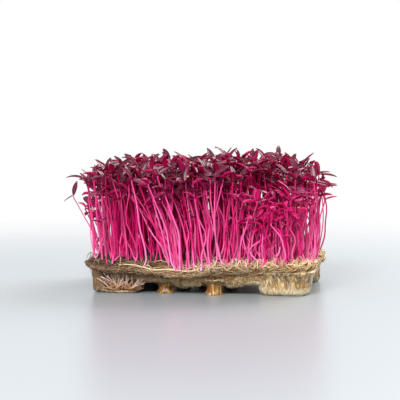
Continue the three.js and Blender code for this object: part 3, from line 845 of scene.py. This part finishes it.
LOWEST_STRAND_Z = 0.3
STRAND_SIDE = np.array([0.31, 0.22, 0.93])
RIM_STEP = 0.004
CLEAR_OF_POSTS = 6
PAD_FIBRE_COUNT = 3600
ROOT_THREAD_COUNT = 2300
EDGE_ROOT_COUNT = 320
ROOT_LOOP_COUNT = 200
CRUMB_COUNT = 1200

# No fibre lies across the right foot below this height, and those inside the rim are dark up to this x
FOOT_CLEAR_TO_Z = 13.5
DARK_TO_X = 5
DARK_TONE = 0.36


def add_strands(name, lines, radii, material, slot, sides, replaces=(), **numbers):
    """Thin tapering strands along lines of equal numbers of points, with each number given once a strand."""
    lines = np.array(lines)
    lines[..., 2] = np.maximum(lines[..., 2], LOWEST_STRAND_Z)
    share = np.linspace(0, 1, lines.shape[1])
    taper = np.clip(np.sin(math.pi * (0.12 + 0.86 * share)) ** 0.5, 0.12, 1)
    rings = tubes(lines, np.asarray(radii)[:, None] * taper, sides, STRAND_SIDE)
    each = {label: np.repeat(values, lines.shape[1] * sides) for label, values in numbers.items()}
    each["along"] = np.tile(np.repeat(share, sides), len(lines))
    add_piece(name, *skin(rings), [material], slot, each, replaces)


def add_fibres(name, slot, rng, lines, tones, thick, sides=3, paler=0.0, middle=3):
    """Strands of matted fibre or root, paler where there is more pale root."""
    radii = rng.uniform(*thick, len(lines))
    cream = np.clip(cream_share(np.array(lines)[:, middle]) + paler, 0, 1)
    add_strands(name, lines, radii, FIBRE, slot, sides, tone=tones, cream=cream)


def rim_heading(rng, share, tilt=0.0):
    """A heading along the rim, one way or the other, tilted up or down at random."""
    along = rim_points(0, [(share + RIM_STEP) % 1])[0] - rim_points(0, [share])[0]
    way = rng.choice([-1, 1])
    return np.append(way * along / np.linalg.norm(along), rng.normal(0, tilt) if tilt else 0)


def add_pad_fibres(ground):
    """Short matted fibres over the pad's wall, lip and the edge of its top."""
    rng = np.random.RandomState(SEED + 11)
    lines = []
    tones = []
    for _ in range(PAD_FIBRE_COUNT):
        share = rng.uniform()
        inset = rng.choice([0, 1, 2, 5, 9]) + rng.uniform(-1, 1.5)
        on_wall = inset < 3
        z = rng.uniform(PAD_BOTTOM_Z, PAD_RIM_Z + 1) if on_wall else PAD_TOP_Z + 2
        spot = rim_points(inset, [share])[0]
        heading = rim_heading(rng, share, 0.5)
        step = rng.uniform(0.5, 1.3)
        if spot[0] > RIGHT_FOOT_INNER_X and on_wall and z < FOOT_CLEAR_TO_Z:
            continue
        lines.append(ground.walk(rng, (*spot, z), heading, 7, step, 0.42, 0.12, rng.uniform(0, 0.9)))
        tones.append(rng.uniform() * (DARK_TONE if inset > 1.5 and spot[0] < DARK_TO_X else 1))
    add_fibres("pad_fibres", "pad_fibre", rng, lines, tones, (0.06, 0.15))


def add_root_threads(ground):
    """Roots that run down over the feet and the wall of the root mat, clear of the posts."""
    rng = np.random.RandomState(SEED + 23)
    lines = []
    tones = []
    for _ in range(ROOT_THREAD_COUNT):
        spot = rim_points(rng.uniform(3, 7), [rng.uniform()])[0]
        on_foot = spot[0] > RIGHT_FOOT_INNER_X
        start = (*spot, rng.uniform(2.5, PAD_RIM_Z if on_foot else PAD_BOTTOM_Z + 2.5))
        heading = (rng.normal(0, 0.35), rng.normal(0, 0.35), -1)
        wander = 0.08 if on_foot else 0.22
        line = ground.walk(rng, start, heading, 8, rng.uniform(0.6, 1.5), wander, 0.08, rng.uniform(0, 0.35))
        tone = rng.uniform()
        if min(math.dist(line[-1][:2], post) for post in POSTS) >= CLEAR_OF_POSTS:
            lines.append(line)
            tones.append(tone)
    add_fibres("root_threads", "root_flesh", rng, lines, tones, (0.08, 0.2))


def add_edge_roots(ground):
    """Long pale roots that lie along the rim and loop off it, most of them at the front and right."""
    rng = np.random.RandomState(SEED + 31)
    lines = []
    tones = []
    for number in range(EDGE_ROOT_COUNT):
        share = rng.uniform(0.6, 1.02) % 1 if number % 2 else rng.uniform()
        spot = rim_points(rng.uniform(0, 7), [share])[0]
        if spot[1] < 0 and spot[0] < -4 and rng.uniform() < 0.8:
            continue
        heading = rim_heading(rng, share)
        step = rng.uniform(0.8, 1.9)
        loop = rng.uniform(0.1, 1.6)
        lines.append(ground.walk(rng, (*spot, PAD_TOP_Z + 2), heading, 10, step, 0.3, 0.25, loop))
        tones.append(rng.uniform(0, 0.8))
    add_fibres("edge_roots", "root_flesh", rng, lines, tones, (0.13, 0.28), 5, 0.2)


def add_root_loops():
    """Golden roots that rise in small loops among the feet of the stems, most of them at the front right."""
    rng = np.random.RandomState(SEED + 71)
    lines = []
    for number in range(ROOT_LOOP_COUNT):
        share = rng.uniform(0.745, 0.9) if number % 3 else rng.uniform()
        x, y = rim_points(rng.uniform(0.8, 8), [share])[0]
        turn = rng.uniform(0, 2 * math.pi)
        reach = rng.uniform(2.5, 8) * np.linspace(0, 1, 9)
        arch = rng.uniform(0.6, 4.4) * np.sin(math.pi * np.linspace(0, 1, 9))
        along_x = x + reach * math.cos(turn)
        along_y = y + reach * math.sin(turn)
        lines.append(np.column_stack([along_x, along_y, top_z(along_x, along_y) - 0.4 + arch]))
    tones = rng.uniform(0, 0.9, len(lines))
    add_fibres("root_loops", "root_flesh", rng, lines, tones, (0.12, 0.26), 5, 0.3, 4)


def add_edge_root():
    """The long root across the sag, through the points of its solid, and a thin one beside it."""
    x = np.linspace(EDGE_ROOT["from_x"], EDGE_ROOT["to_x"], 60)
    y = 0.5 * np.sin(x / 3.1) - (RIM_HALF_Y - EDGE_ROOT["inset"])
    z = top_z(x, y) + EDGE_ROOT["lift"]
    beside = [x, y - 0.9 + 0.5 * np.sin(x / 2.3), z - 0.25 + 0.2 * np.sin(x / 1.7)]
    lines = np.stack([np.column_stack([x, y, z]), np.column_stack(beside)])
    add_strands("edge_root_long", lines, [0.26, 0.15], FIBRE, "root_flesh", 8, ["edge_root"],
                tone=[0.7, 0.5], cream=[0.9, 0.7])


TUFT_SHOOTS = 90


def add_tuft():
    """Stiff pale shoots that fan up from the ledge of the left foot, over a tan knot of short ones."""
    rng = np.random.RandomState(SEED + 43)
    part = np.linspace(0, 1, 7)
    lines = []
    radii = []
    tones = []
    for number in range(TUFT_SHOOTS):
        is_short = number % 2 == 1
        share = rng.uniform(-0.5, 0.5)
        angle = (90 - 60 * share + rng.normal(0, 45 if is_short else 24)) * RADIANS
        length = TUFT["length"] * (rng.uniform(0.25, 0.5) if is_short else rng.uniform(0.8, 1.45))
        x = TUFT["x"] + 1.9 * TUFT["half_x"] * share
        y = TUFT["y"] + rng.uniform(-1.6, 0.8)
        bend = rng.normal(0, 1.8)
        forward = rng.uniform(-2.5, 0.2) if is_short else rng.uniform(-6, -2)
        lines.append(np.column_stack([
            x + part * length * math.cos(angle) + bend * part**2,
            y + forward * part**2,
            TUFT["z"] + part * length * abs(math.sin(angle)) * (1 - 0.1 * part),
        ]))
        radii.append(rng.uniform(0.2, 0.46))
        tones.append(rng.uniform(0, 0.35) if is_short else rng.uniform(0.5, 1))
    add_strands("root_tuft_shoots", lines, radii, SHOOT, "root_flesh", 6, ["root_tuft"], tone=tones)


BEAD_RINGS = 5
BEAD_SIDES = 6


def beads(centres, sizes, turns, flatten):
    """Small rounded bodies: rings of a ball, flattened and turned."""
    rise = np.linspace(0.04, math.pi - 0.04, BEAD_RINGS)
    around = np.arange(BEAD_SIDES) * 2 * math.pi / BEAD_SIDES
    ball = np.stack([
        np.sin(rise)[:, None] * np.cos(around)[None],
        np.sin(rise)[:, None] * np.sin(around)[None],
        -np.cos(rise)[:, None] + 0 * around[None],
    ], -1)
    ball = ball[None] * sizes[:, None, None, None] * np.array([1, 1, flatten])
    cos = np.cos(turns)[:, None, None]
    sin = np.sin(turns)[:, None, None]
    x = ball[..., 0]
    z = ball[..., 2] * cos - x * sin
    x = x * cos + ball[..., 2] * sin
    return np.stack([x, ball[..., 1], z], -1) + centres[:, None, None]


def add_beads(name, rng, rings, material, slot):
    vertices, faces = skin(rings)
    tones = np.repeat(rng.uniform(0, 1, len(rings)), BEAD_RINGS * BEAD_SIDES)
    add_piece(name, vertices, faces, [material], slot, {"tone": tones})


def add_crumbs(ground):
    """Crumbs of soil on the pad's top near its edge, and most of all on the bare strip at the front left."""
    rng = np.random.RandomState(SEED + 53)
    count = CRUMB_COUNT
    insets = rng.uniform(0.5, 15, count)
    strip = rng.uniform(0, 1, count) < 0.35
    shares = np.where(strip, rng.uniform(0.58, 0.74, count), rng.uniform(0, 1, count))
    starts = [rim_points(inset, [share])[0] for inset, share in zip(insets, shares)]
    spots = [ground.nearest((*start, PAD_TOP_Z + 3))[0] for start in starts]
    sizes = rng.uniform(0.18, 0.62, count) ** 1.1
    rings = beads(np.array(spots) + [0, 0, 0.1], sizes, rng.uniform(0, 6.3, count), 0.8)
    rings += 0.12 * rng.normal(0, 1, rings.shape) * sizes[:, None, None, None]
    add_beads("soil_crumbs", rng, rings, SOIL, "pad_fibre")


def add_hulls(plants):
    """Seed hulls that still sit on some leaf tips."""
    rng = np.random.RandomState(SEED + 61)
    tips = leaf_rings(plants)[0][:, -1].mean(1)
    tips = tips[rng.uniform(0, 1, len(tips)) < 0.05]
    sizes = rng.uniform(0.55, 0.8, len(tips))
    add_beads("seed_hulls", rng, beads(tips, sizes, rng.uniform(0, 6.3, len(tips)), 0.62), HULL, "root_flesh")


# Materials


def tint(red, green, blue):
    """A colour given in screen values, as a shader takes it."""
    return (*[(value / 255) ** 2.2 for value in (red, green, blue)], 1.0)


def grey(value):
    return (value, value, value, 1)


class Skin:
    """A material and the nodes that colour it."""

    def __init__(self, name, **settings):
        self.material = bpy.data.materials.new(name)
        self.material.use_nodes = True
        self.nodes = self.material.node_tree.nodes
        self.base = self.nodes["Principled BSDF"]
        for label, value in settings.items():
            self.base.inputs[label.replace("_", " ").title().replace("Ior", "IOR")].default_value = value

    def put(self, socket, value):
        if isinstance(value, bpy.types.NodeSocket):
            self.material.node_tree.links.new(value, socket)
        else:
            socket.default_value = value

    def number(self, label):
        node = self.nodes.new("ShaderNodeAttribute")
        node.attribute_name = label
        return node.outputs["Fac"]

    def place(self):
        return self.nodes.new("ShaderNodeTexCoord").outputs["Object"]

    def noise(self, scale, detail=3.0, stretch=(1, 1, 1)):
        mapping = self.nodes.new("ShaderNodeMapping")
        mapping.inputs["Scale"].default_value = stretch
        self.put(mapping.inputs["Vector"], self.place())
        node = self.nodes.new("ShaderNodeTexNoise")
        node.inputs["Scale"].default_value = scale
        node.inputs["Detail"].default_value = detail
        self.put(node.inputs["Vector"], mapping.outputs["Vector"])
        return node.outputs["Fac"]

    def ramp(self, value, *stops):
        node = self.nodes.new("ShaderNodeValToRGB")
        elements = node.color_ramp.elements
        elements.remove(elements[1])
        elements[0].position, elements[0].color = stops[0]
        for position, colour in stops[1:]:
            elements.new(position).color = colour
        self.put(node.inputs["Fac"], value)
        return node.outputs["Color"]

    def mix(self, share, first, second):
        node = self.nodes.new("ShaderNodeMix")
        node.data_type = "RGBA"
        self.put(node.inputs[0], share)
        self.put(node.inputs[6], first)
        self.put(node.inputs[7], second)
        return node.outputs[2]

    def count(self, kind, first, second):
        node = self.nodes.new("ShaderNodeMath")
        node.operation = kind
        self.put(node.inputs[0], first)
        self.put(node.inputs[1], second)
        return node.outputs[0]

    def paint(self, colour):
        self.put(self.base.inputs["Base Color"], colour)

    def emboss(self, height, strength, distance):
        node = self.nodes.new("ShaderNodeBump")
        node.inputs["Strength"].default_value = strength
        node.inputs["Distance"].default_value = distance * MM
        self.put(node.inputs["Height"], height)
        self.put(self.base.inputs["Normal"], node.outputs["Normal"])

    def glow_through(self, share, colour):
        """Lets part of the light pass through the skin."""
        through = self.nodes.new("ShaderNodeBsdfTranslucent")
        self.put(through.inputs["Color"], colour)
        blend = self.nodes.new("ShaderNodeMixShader")
        blend.inputs[0].default_value = share
        self.put(blend.inputs[1], self.base.outputs[0])
        self.put(blend.inputs[2], through.outputs[0])
        self.put(self.nodes["Material Output"].inputs["Surface"], blend.outputs[0])


def stem_skin():
    skin_of = Skin("stem_pink", roughness=0.3, specular_ior_level=0.2)
    along = skin_of.number("along")
    pale = skin_of.ramp(
        along,
        (0.0, tint(252, 204, 228)),
        (0.1, tint(252, 158, 212)),
        (0.3, tint(255, 136, 202)),
        (0.75, tint(252, 108, 182)),
        (1.0, tint(234, 70, 148)),
    )
    deep = skin_of.ramp(
        along,
        (0.0, tint(238, 100, 166)),
        (0.12, tint(226, 20, 116)),
        (0.5, tint(212, 2, 104)),
        (1.0, tint(170, 2, 72)),
    )
    # Low tone, which holds painted shade for stems deep in the stand as well as random tone, gives the deep
    # crimson.
    colour = skin_of.mix(skin_of.count("POWER", skin_of.number("tone"), 1.3), deep, pale)
    skin_of.paint(colour)
    skin_of.glow_through(0.28, colour)
    return skin_of.material


def leaf_skin(name, dark, light, rib, roughness, through):
    skin_of = Skin(name, roughness=roughness)
    body = skin_of.mix(skin_of.number("tone"), dark, light)
    patches = skin_of.ramp(skin_of.noise(700), (0.35, grey(0)), (0.7, grey(0.35)))
    body = skin_of.mix(patches, body, light)
    line = skin_of.ramp(skin_of.number("rib"), (0.0, grey(0.6)), (0.3, grey(0)))
    colour = skin_of.mix(line, body, rib)
    colour = skin_of.mix(skin_of.number("young"), colour, tint(206, 24, 112))
    skin_of.paint(colour)
    skin_of.glow_through(through, skin_of.mix(skin_of.number("young"), rib, tint(236, 44, 140)))
    return skin_of.material


def pad_fibre():
    skin_of = Skin("pad_fibre", roughness=0.85)
    grain = skin_of.noise(900, 6)
    brown = skin_of.ramp(grain, (0.3, tint(60, 38, 24)), (0.5, tint(104, 76, 54)), (0.7, tint(144, 114, 88)))
    pale = skin_of.ramp(grain, (0.3, tint(92, 57, 24)), (0.5, tint(150, 107, 54)), (0.7, tint(198, 161, 102)))
    earth = skin_of.ramp(grain, (0.34, tint(24, 15, 9)), (0.52, tint(58, 40, 27)), (0.72, tint(108, 84, 58)))
    wall = skin_of.mix(skin_of.number("cream"), brown, pale)
    skin_of.paint(skin_of.mix(skin_of.number("soil"), wall, earth))
    skin_of.emboss(grain, 0.7, 0.6)
    return skin_of.material


def root_flesh():
    """Matted root: pinkish brown at the left, cream at the right with soil showing, a pale band and a painted
    highlight on the right foot, and amber posts.
    """
    skin_of = Skin("root_flesh", roughness=0.32)
    strands = skin_of.noise(1250, 3, (1, 1, 0.08))
    soil = skin_of.noise(280, 6, (1, 1, 0.5))
    pale = skin_of.ramp(
        strands,
        (0.3, tint(158, 112, 48)),
        (0.5, tint(204, 164, 94)),
        (0.7, tint(236, 216, 178)),
    )
    brown = skin_of.ramp(
        strands,
        (0.3, tint(90, 61, 46)),
        (0.55, tint(142, 110, 92)),
        (0.75, tint(180, 152, 134)),
    )
    colour = skin_of.mix(skin_of.number("cream"), brown, pale)
    seen = skin_of.ramp(soil, (0.4, grey(0)), (0.62, grey(1)))
    seen = skin_of.count("MULTIPLY", seen, skin_of.number("soil"))
    colour = skin_of.mix(seen, colour, tint(112, 84, 54))
    net = skin_of.ramp(strands, (0.5, grey(0)), (0.7, grey(0.75)))
    net = skin_of.count("MULTIPLY", net, skin_of.number("cream"))
    colour = skin_of.mix(net, colour, tint(236, 222, 196))
    # The right foot's pale bottom band and the painted highlight down its left edge.
    colour = skin_of.mix(skin_of.number("rind_and_edge_highlight"), colour, tint(255, 243, 208))
    amber = skin_of.ramp(
        strands,
        (0.34, tint(86, 48, 10)),
        (0.52, tint(144, 94, 34)),
        (0.7, tint(212, 168, 96)),
    )
    colour = skin_of.mix(skin_of.number("amber"), colour, amber)
    skin_of.paint(colour)
    skin_of.emboss(strands, 0.35, 0.3)
    skin_of.glow_through(0.25, colour)
    return skin_of.material


def fibre_skin():
    skin_of = Skin("root_fibre", roughness=0.5)
    pale = skin_of.mix(skin_of.number("tone"), tint(180, 138, 78), tint(240, 224, 190))
    brown = skin_of.mix(skin_of.number("tone"), tint(66, 43, 27), tint(158, 128, 98))
    skin_of.paint(skin_of.mix(skin_of.number("cream"), brown, pale))
    return skin_of.material


def shoot_skin():
    skin_of = Skin("root_shoot", roughness=0.4)
    pale = skin_of.ramp(
        skin_of.number("along"),
        (0.0, tint(192, 136, 88)),
        (0.25, tint(222, 184, 156)),
        (1.0, tint(246, 224, 214)),
    )
    colour = skin_of.mix(skin_of.number("tone"), tint(176, 120, 70), pale)
    skin_of.paint(colour)
    skin_of.glow_through(0.25, colour)
    return skin_of.material


def plain_skin(name, dark, light, roughness):
    skin_of = Skin(name, roughness=roughness)
    skin_of.paint(skin_of.mix(skin_of.number("tone"), dark, light))
    return skin_of.material


STEM_SKIN = stem_skin()
LEAF_UPPER = leaf_skin("leaf_wine", tint(33, 2, 17), tint(94, 14, 52), tint(156, 14, 78), 0.36, 0.28)
LEAF_UNDER = leaf_skin("leaf_crimson", tint(104, 4, 42), tint(196, 12, 98), tint(216, 28, 108), 0.45, 0.4)
PAD_FIBRE = pad_fibre()
ROOT_FLESH = root_flesh()
FIBRE = fibre_skin()
SHOOT = shoot_skin()
SOIL = plain_skin("soil", tint(38, 23, 14), tint(88, 60, 38), 0.9)
HULL = plain_skin("seed_hull", tint(150, 112, 72), tint(214, 188, 150), 0.5)


# Where the sown seedlings stand

SOWN_PITCH = 4.15
HIGHEST_HUB = 66.5
FURTHEST_RIGHT_HUB = 62.5
BARE_STRIP = {"to_x": -16, "to_y": -25.5}
FAN_STEMS = 13

# Stretches along the front where seedlings with J-shaped bases stand: from, to, how many
HOOKED = [
    ((-50, -41), (-16, -33), 8),
    ((-16, -42), (10, -38), 7),
    ((10, -42), (50, -38), 18),
]

# Patches of small seedlings, stunted, at the left end, and low: feet from and to, rise of the hubs over the
# feet from and to, how many, bow with hook and leaf length, shares of the usual thickness and leaf width, and
# whether all are dark
SMALL_PATCHES = [
    (((-54, -39), (10, -28)), ((-6, -6, 22), (4, 0, 34)), 12, (1.5, 0, (4, 7)), 0.6, 0.35, True),
    (((-62.6, -20), (-60.4, 4)), ((-7, -3, 23), (-2, 3, 31)), 6, (0.8, 0, (6, 9)), 0.8, 1, True),
    (((14, -41), (50, -35)), ((-5, -4, 17), (5, 3, 35)), 30, (2.5, 0.5, (7, 10)), 1, 1, False),
]

# Seedlings that stand out from the block's ends: foot, hub, and heading, rise, droop, length and half width
# of each leaf
END_STRAYS = [
    ((-60.0, -3.0), (-69.0, -1.0, 58.5), [(3.1, 0.42, 0.32, 12, 1.3), (0.3, 0.5, 0.3, 9.5, 1.6)]),
    ((-59.0, 3.0), (-68.5, -6.0, 44.0), [(2.6, 0.6, 0.3, 6, 1.1), (0.0, 0.3, 0.3, 6, 1.1)]),
    ((60.0, -8.0), (66.0, -9.0, 50.0), [(0.1, 0.35, 0.1, 7, 1.2), (2.2, 1.1, 0.2, 6, 1.2)]),
    ((60.5, -3.0), (64.5, -3.0, 58.0), [(-0.2, 0.12, 0.1, 8, 0.9), (3.0, 0.6, 0.3, 9, 1.5)]),
    ((60.0, 4.0), (64.5, 0.0, 56.0), [(-0.1, 0.2, 0.05, 8, 0.9), (3.0, 0.6, 0.3, 9, 1.5)]),
]


def inside_rim(points, inset):
    corner = RIM_CORNER - inset / 3
    out = np.abs(points) - [RIM_HALF_X - inset - corner, RIM_HALF_Y - inset - corner]
    return np.hypot(*np.maximum(out, 0).T) <= corner


def sown_spots(rng, clumps):
    """Feet over the whole pad, on a jittered grid that keeps off the clumps' feet."""
    columns, rows = np.meshgrid(np.arange(-17, 18), np.arange(-14, 15))
    grid = np.stack([columns + 0.5 * (rows % 2), rows * 0.866], -1).reshape(-1, 2) * SOWN_PITCH
    spots = grid + rng.uniform(-1.4, 1.4, grid.shape)
    spots = spots[inside_rim(spots, 1.7)]
    bare = (spots[:, 0] < BARE_STRIP["to_x"]) & (spots[:, 1] < BARE_STRIP["to_y"])
    spots = spots[~bare]
    feet = np.array([stem["foot"][:2] for clump in clumps for stem in clump["stems"]])
    away = np.linalg.norm(spots[:, None] - feet[None], axis=2).min(1)
    return spots[away > 1.5]


def on_pad(spots):
    return np.column_stack([spots, top_z(spots[:, 0], spots[:, 1]) - 0.5])


def hubs_over(rng, spots):
    """Hubs above the feet, most of them near the canopy's top."""
    count = len(spots)
    lean = np.array([lean_at(x, y) for x, y in spots])
    level = np.array([canopy_at(x, y) for x, y in spots])
    scatter = np.where(rng.uniform(0, 1, (count, 1)) < 0.12, 6.0, 2.6)
    flat = spots + lean + rng.normal(0, 1, (count, 2)) * scatter
    flat = np.where(inside_rim(flat, -3)[:, None], flat, spots + lean)
    flat[:, 0] += 2.4 * np.clip((spots[:, 0] - 42) / 18, 0, 1)
    flat[:, 0] = np.minimum(flat[:, 0], FURTHEST_RIGHT_HUB)
    depth = np.where(spots[:, 1] < -18, 20, 13)
    z = level + 3 - depth * rng.uniform(0, 1, count) ** 1.5 + rng.normal(0, 1.5, count)
    return np.column_stack([flat, np.minimum(z, HIGHEST_HUB)])


def between(rng, low, high, count):
    return np.column_stack([rng.uniform(a, b, count) for a, b in zip(low, high)])


def joined(groups):
    return {key: np.concatenate([group[key] for group in groups]) for key in groups[0]}


def chosen(plants, share):
    return {key: values[share] for key, values in plants.items()}


def small_patch(rng, foot_box, rise_box, count, habit, thick, leaf_width, is_dark):
    feet = on_pad(between(rng, *foot_box, count))
    plants = plants_at(rng, feet, feet + between(rng, *rise_box, count), *habit)
    plants["leaves"][..., 4] *= leaf_width
    plants["thick"] *= thick
    if is_dark:
        plants["young"][:] = 0
    return plants


def sown_plants(clumps):
    """The seedlings over the whole pad, the fan left of the middle, the hooked ones and the small ones."""
    rng = np.random.RandomState(SEED + 3)
    spots = sown_spots(rng, clumps)
    groups = [plants_at(rng, on_pad(spots), hubs_over(rng, spots))]
    fan_feet = on_pad(between(rng, (-15, -42), (-7, -37), FAN_STEMS))
    fan_hubs = between(rng, (-40, -42, 48), (-10, -30, 66), FAN_STEMS)
    groups.append(plants_at(rng, fan_feet, fan_hubs, 3, 0.3))
    for low, high, count in HOOKED:
        feet = on_pad(between(rng, low, high, count))
        groups.append(plants_at(rng, feet, hubs_over(rng, feet[:, :2]), 3, 1))
    groups += [small_patch(rng, *patch) for patch in SMALL_PATCHES]
    plants = joined(groups)
    plants["leaves"][..., 3:] *= (1 - 0.3 * plants["young"])[:, None, None]
    return plants


def stray_plants():
    feet, hubs, leaves = (np.array(column) for column in zip(*END_STRAYS))
    plants = plants_at(np.random.RandomState(SEED + 5), on_pad(feet), hubs, 1.0, 0)
    plants["leaves"][:] = leaves
    return plants


# Building

clumps = lay_clumps()
for row in range(ROWS):
    numbers = range(row * COLUMNS, (row + 1) * COLUMNS)
    row_plants = joined([plants_of(clumps[number]) for number in numbers])
    add_stems(f"clump_stems_row_{row + 1}", row_plants, [f"stems_{number + 1:02d}" for number in numbers])
    add_leaves(f"clump_leaves_row_{row + 1}", row_plants, [f"leaves_{number + 1:02d}" for number in numbers])

sown = joined([sown_plants(clumps), stray_plants()])
front = sown["foot"][:, 1] < 0
for name, share in (("front", front), ("back", ~front)):
    add_stems(f"sown_stems_{name}", chosen(sown, share))
    add_leaves(f"sown_leaves_{name}", chosen(sown, share))
add_hulls(sown)

pad = add_pad()
root_mat = add_root_mat()
ground = Ground([pad, root_mat])
add_pad_fibres(ground)
add_root_threads(ground)
add_edge_roots(ground)
add_root_loops()
add_edge_root()
add_tuft()
add_crumbs(ground)


# The pale glossy table, the light and the camera

TABLE_RADIUS = 0.42
TABLE_CORNERS = 96

# The table's colour melts into the room at its edge, and sooner behind the block: middle of the ring along y,
# from, to
TABLE_FADES = [(0, 0.39, 0.42), (-0.1, 0.22, 0.52)]
CAMERA_TURN = 8 * RADIANS
CAMERA_RISE = 5 * RADIANS
CAMERA_AWAY = 1.1
LENS = 177
SENSOR_WIDTH = 36
AIM = Vector((-0.0044, 0, 0.048))


def table_fade(skin_of, middle_y, start, end):
    """From 1 inside a ring on the table to 0 outside it."""
    away = skin_of.nodes.new("ShaderNodeVectorMath")
    away.operation = "DISTANCE"
    away.inputs[1].default_value = (0, middle_y, 0)
    skin_of.put(away.inputs[0], skin_of.place())
    fade = skin_of.nodes.new("ShaderNodeMapRange")
    fade.interpolation_type = "SMOOTHSTEP"
    skin_of.put(fade.inputs["Value"], away.outputs["Value"])
    for label, value in zip(("From Min", "From Max", "To Min", "To Max"), (start, end, 1, 0)):
        fade.inputs[label].default_value = value
    return fade.outputs[0]


def add_table():
    mesh = bpy.data.meshes.new("table")
    turns = np.arange(TABLE_CORNERS) * 2 * math.pi / TABLE_CORNERS
    ring = [(TABLE_RADIUS * math.cos(turn), TABLE_RADIUS * math.sin(turn), 0) for turn in turns]
    mesh.from_pydata(ring, [], [list(range(TABLE_CORNERS))])
    skin_of = Skin("table", roughness=0.3)
    skin_of.paint(tint(135, 141, 145))
    alpha = 1.0
    for middle_y, start, end in TABLE_FADES:
        alpha = skin_of.count("MULTIPLY", alpha, table_fade(skin_of, middle_y, start, end))
    skin_of.put(skin_of.base.inputs["Alpha"], alpha)
    mesh.materials.append(skin_of.material)
    put("table", mesh)


def add_light(name, place, size, power):
    light = bpy.data.lights.new(name, "AREA")
    light.size = size
    light.energy = power
    lamp = put(name, light)
    lamp.location = place
    lamp.rotation_euler = (AIM - Vector(place)).to_track_quat("-Z", "Y").to_euler()


def add_camera():
    camera = put("camera", bpy.data.cameras.new("camera"))
    camera.data.lens = LENS
    camera.data.sensor_width = SENSOR_WIDTH
    flat = math.cos(CAMERA_RISE) * CAMERA_AWAY
    up = math.sin(CAMERA_RISE) * CAMERA_AWAY
    away = Vector((math.sin(CAMERA_TURN) * flat, -math.cos(CAMERA_TURN) * flat, up))
    camera.location = AIM + away
    camera.rotation_euler = (-away).to_track_quat("-Z", "Y").to_euler()
    bpy.context.scene.camera = camera


def set_world():
    world = bpy.data.worlds.new("white_room")
    world.use_nodes = True
    world.node_tree.nodes["Background"].inputs["Color"].default_value = (1, 1, 1, 1)
    world.node_tree.nodes["Background"].inputs["Strength"].default_value = 1.0
    bpy.context.scene.world = world


add_table()
add_light("window", (0.5, 0.75, 0.8), 0.8, 22)
add_light("room", (-0.15, -0.95, 0.8), 0.5, 20)
add_camera()
set_world()
bpy.context.scene.view_settings.view_transform = "Standard"
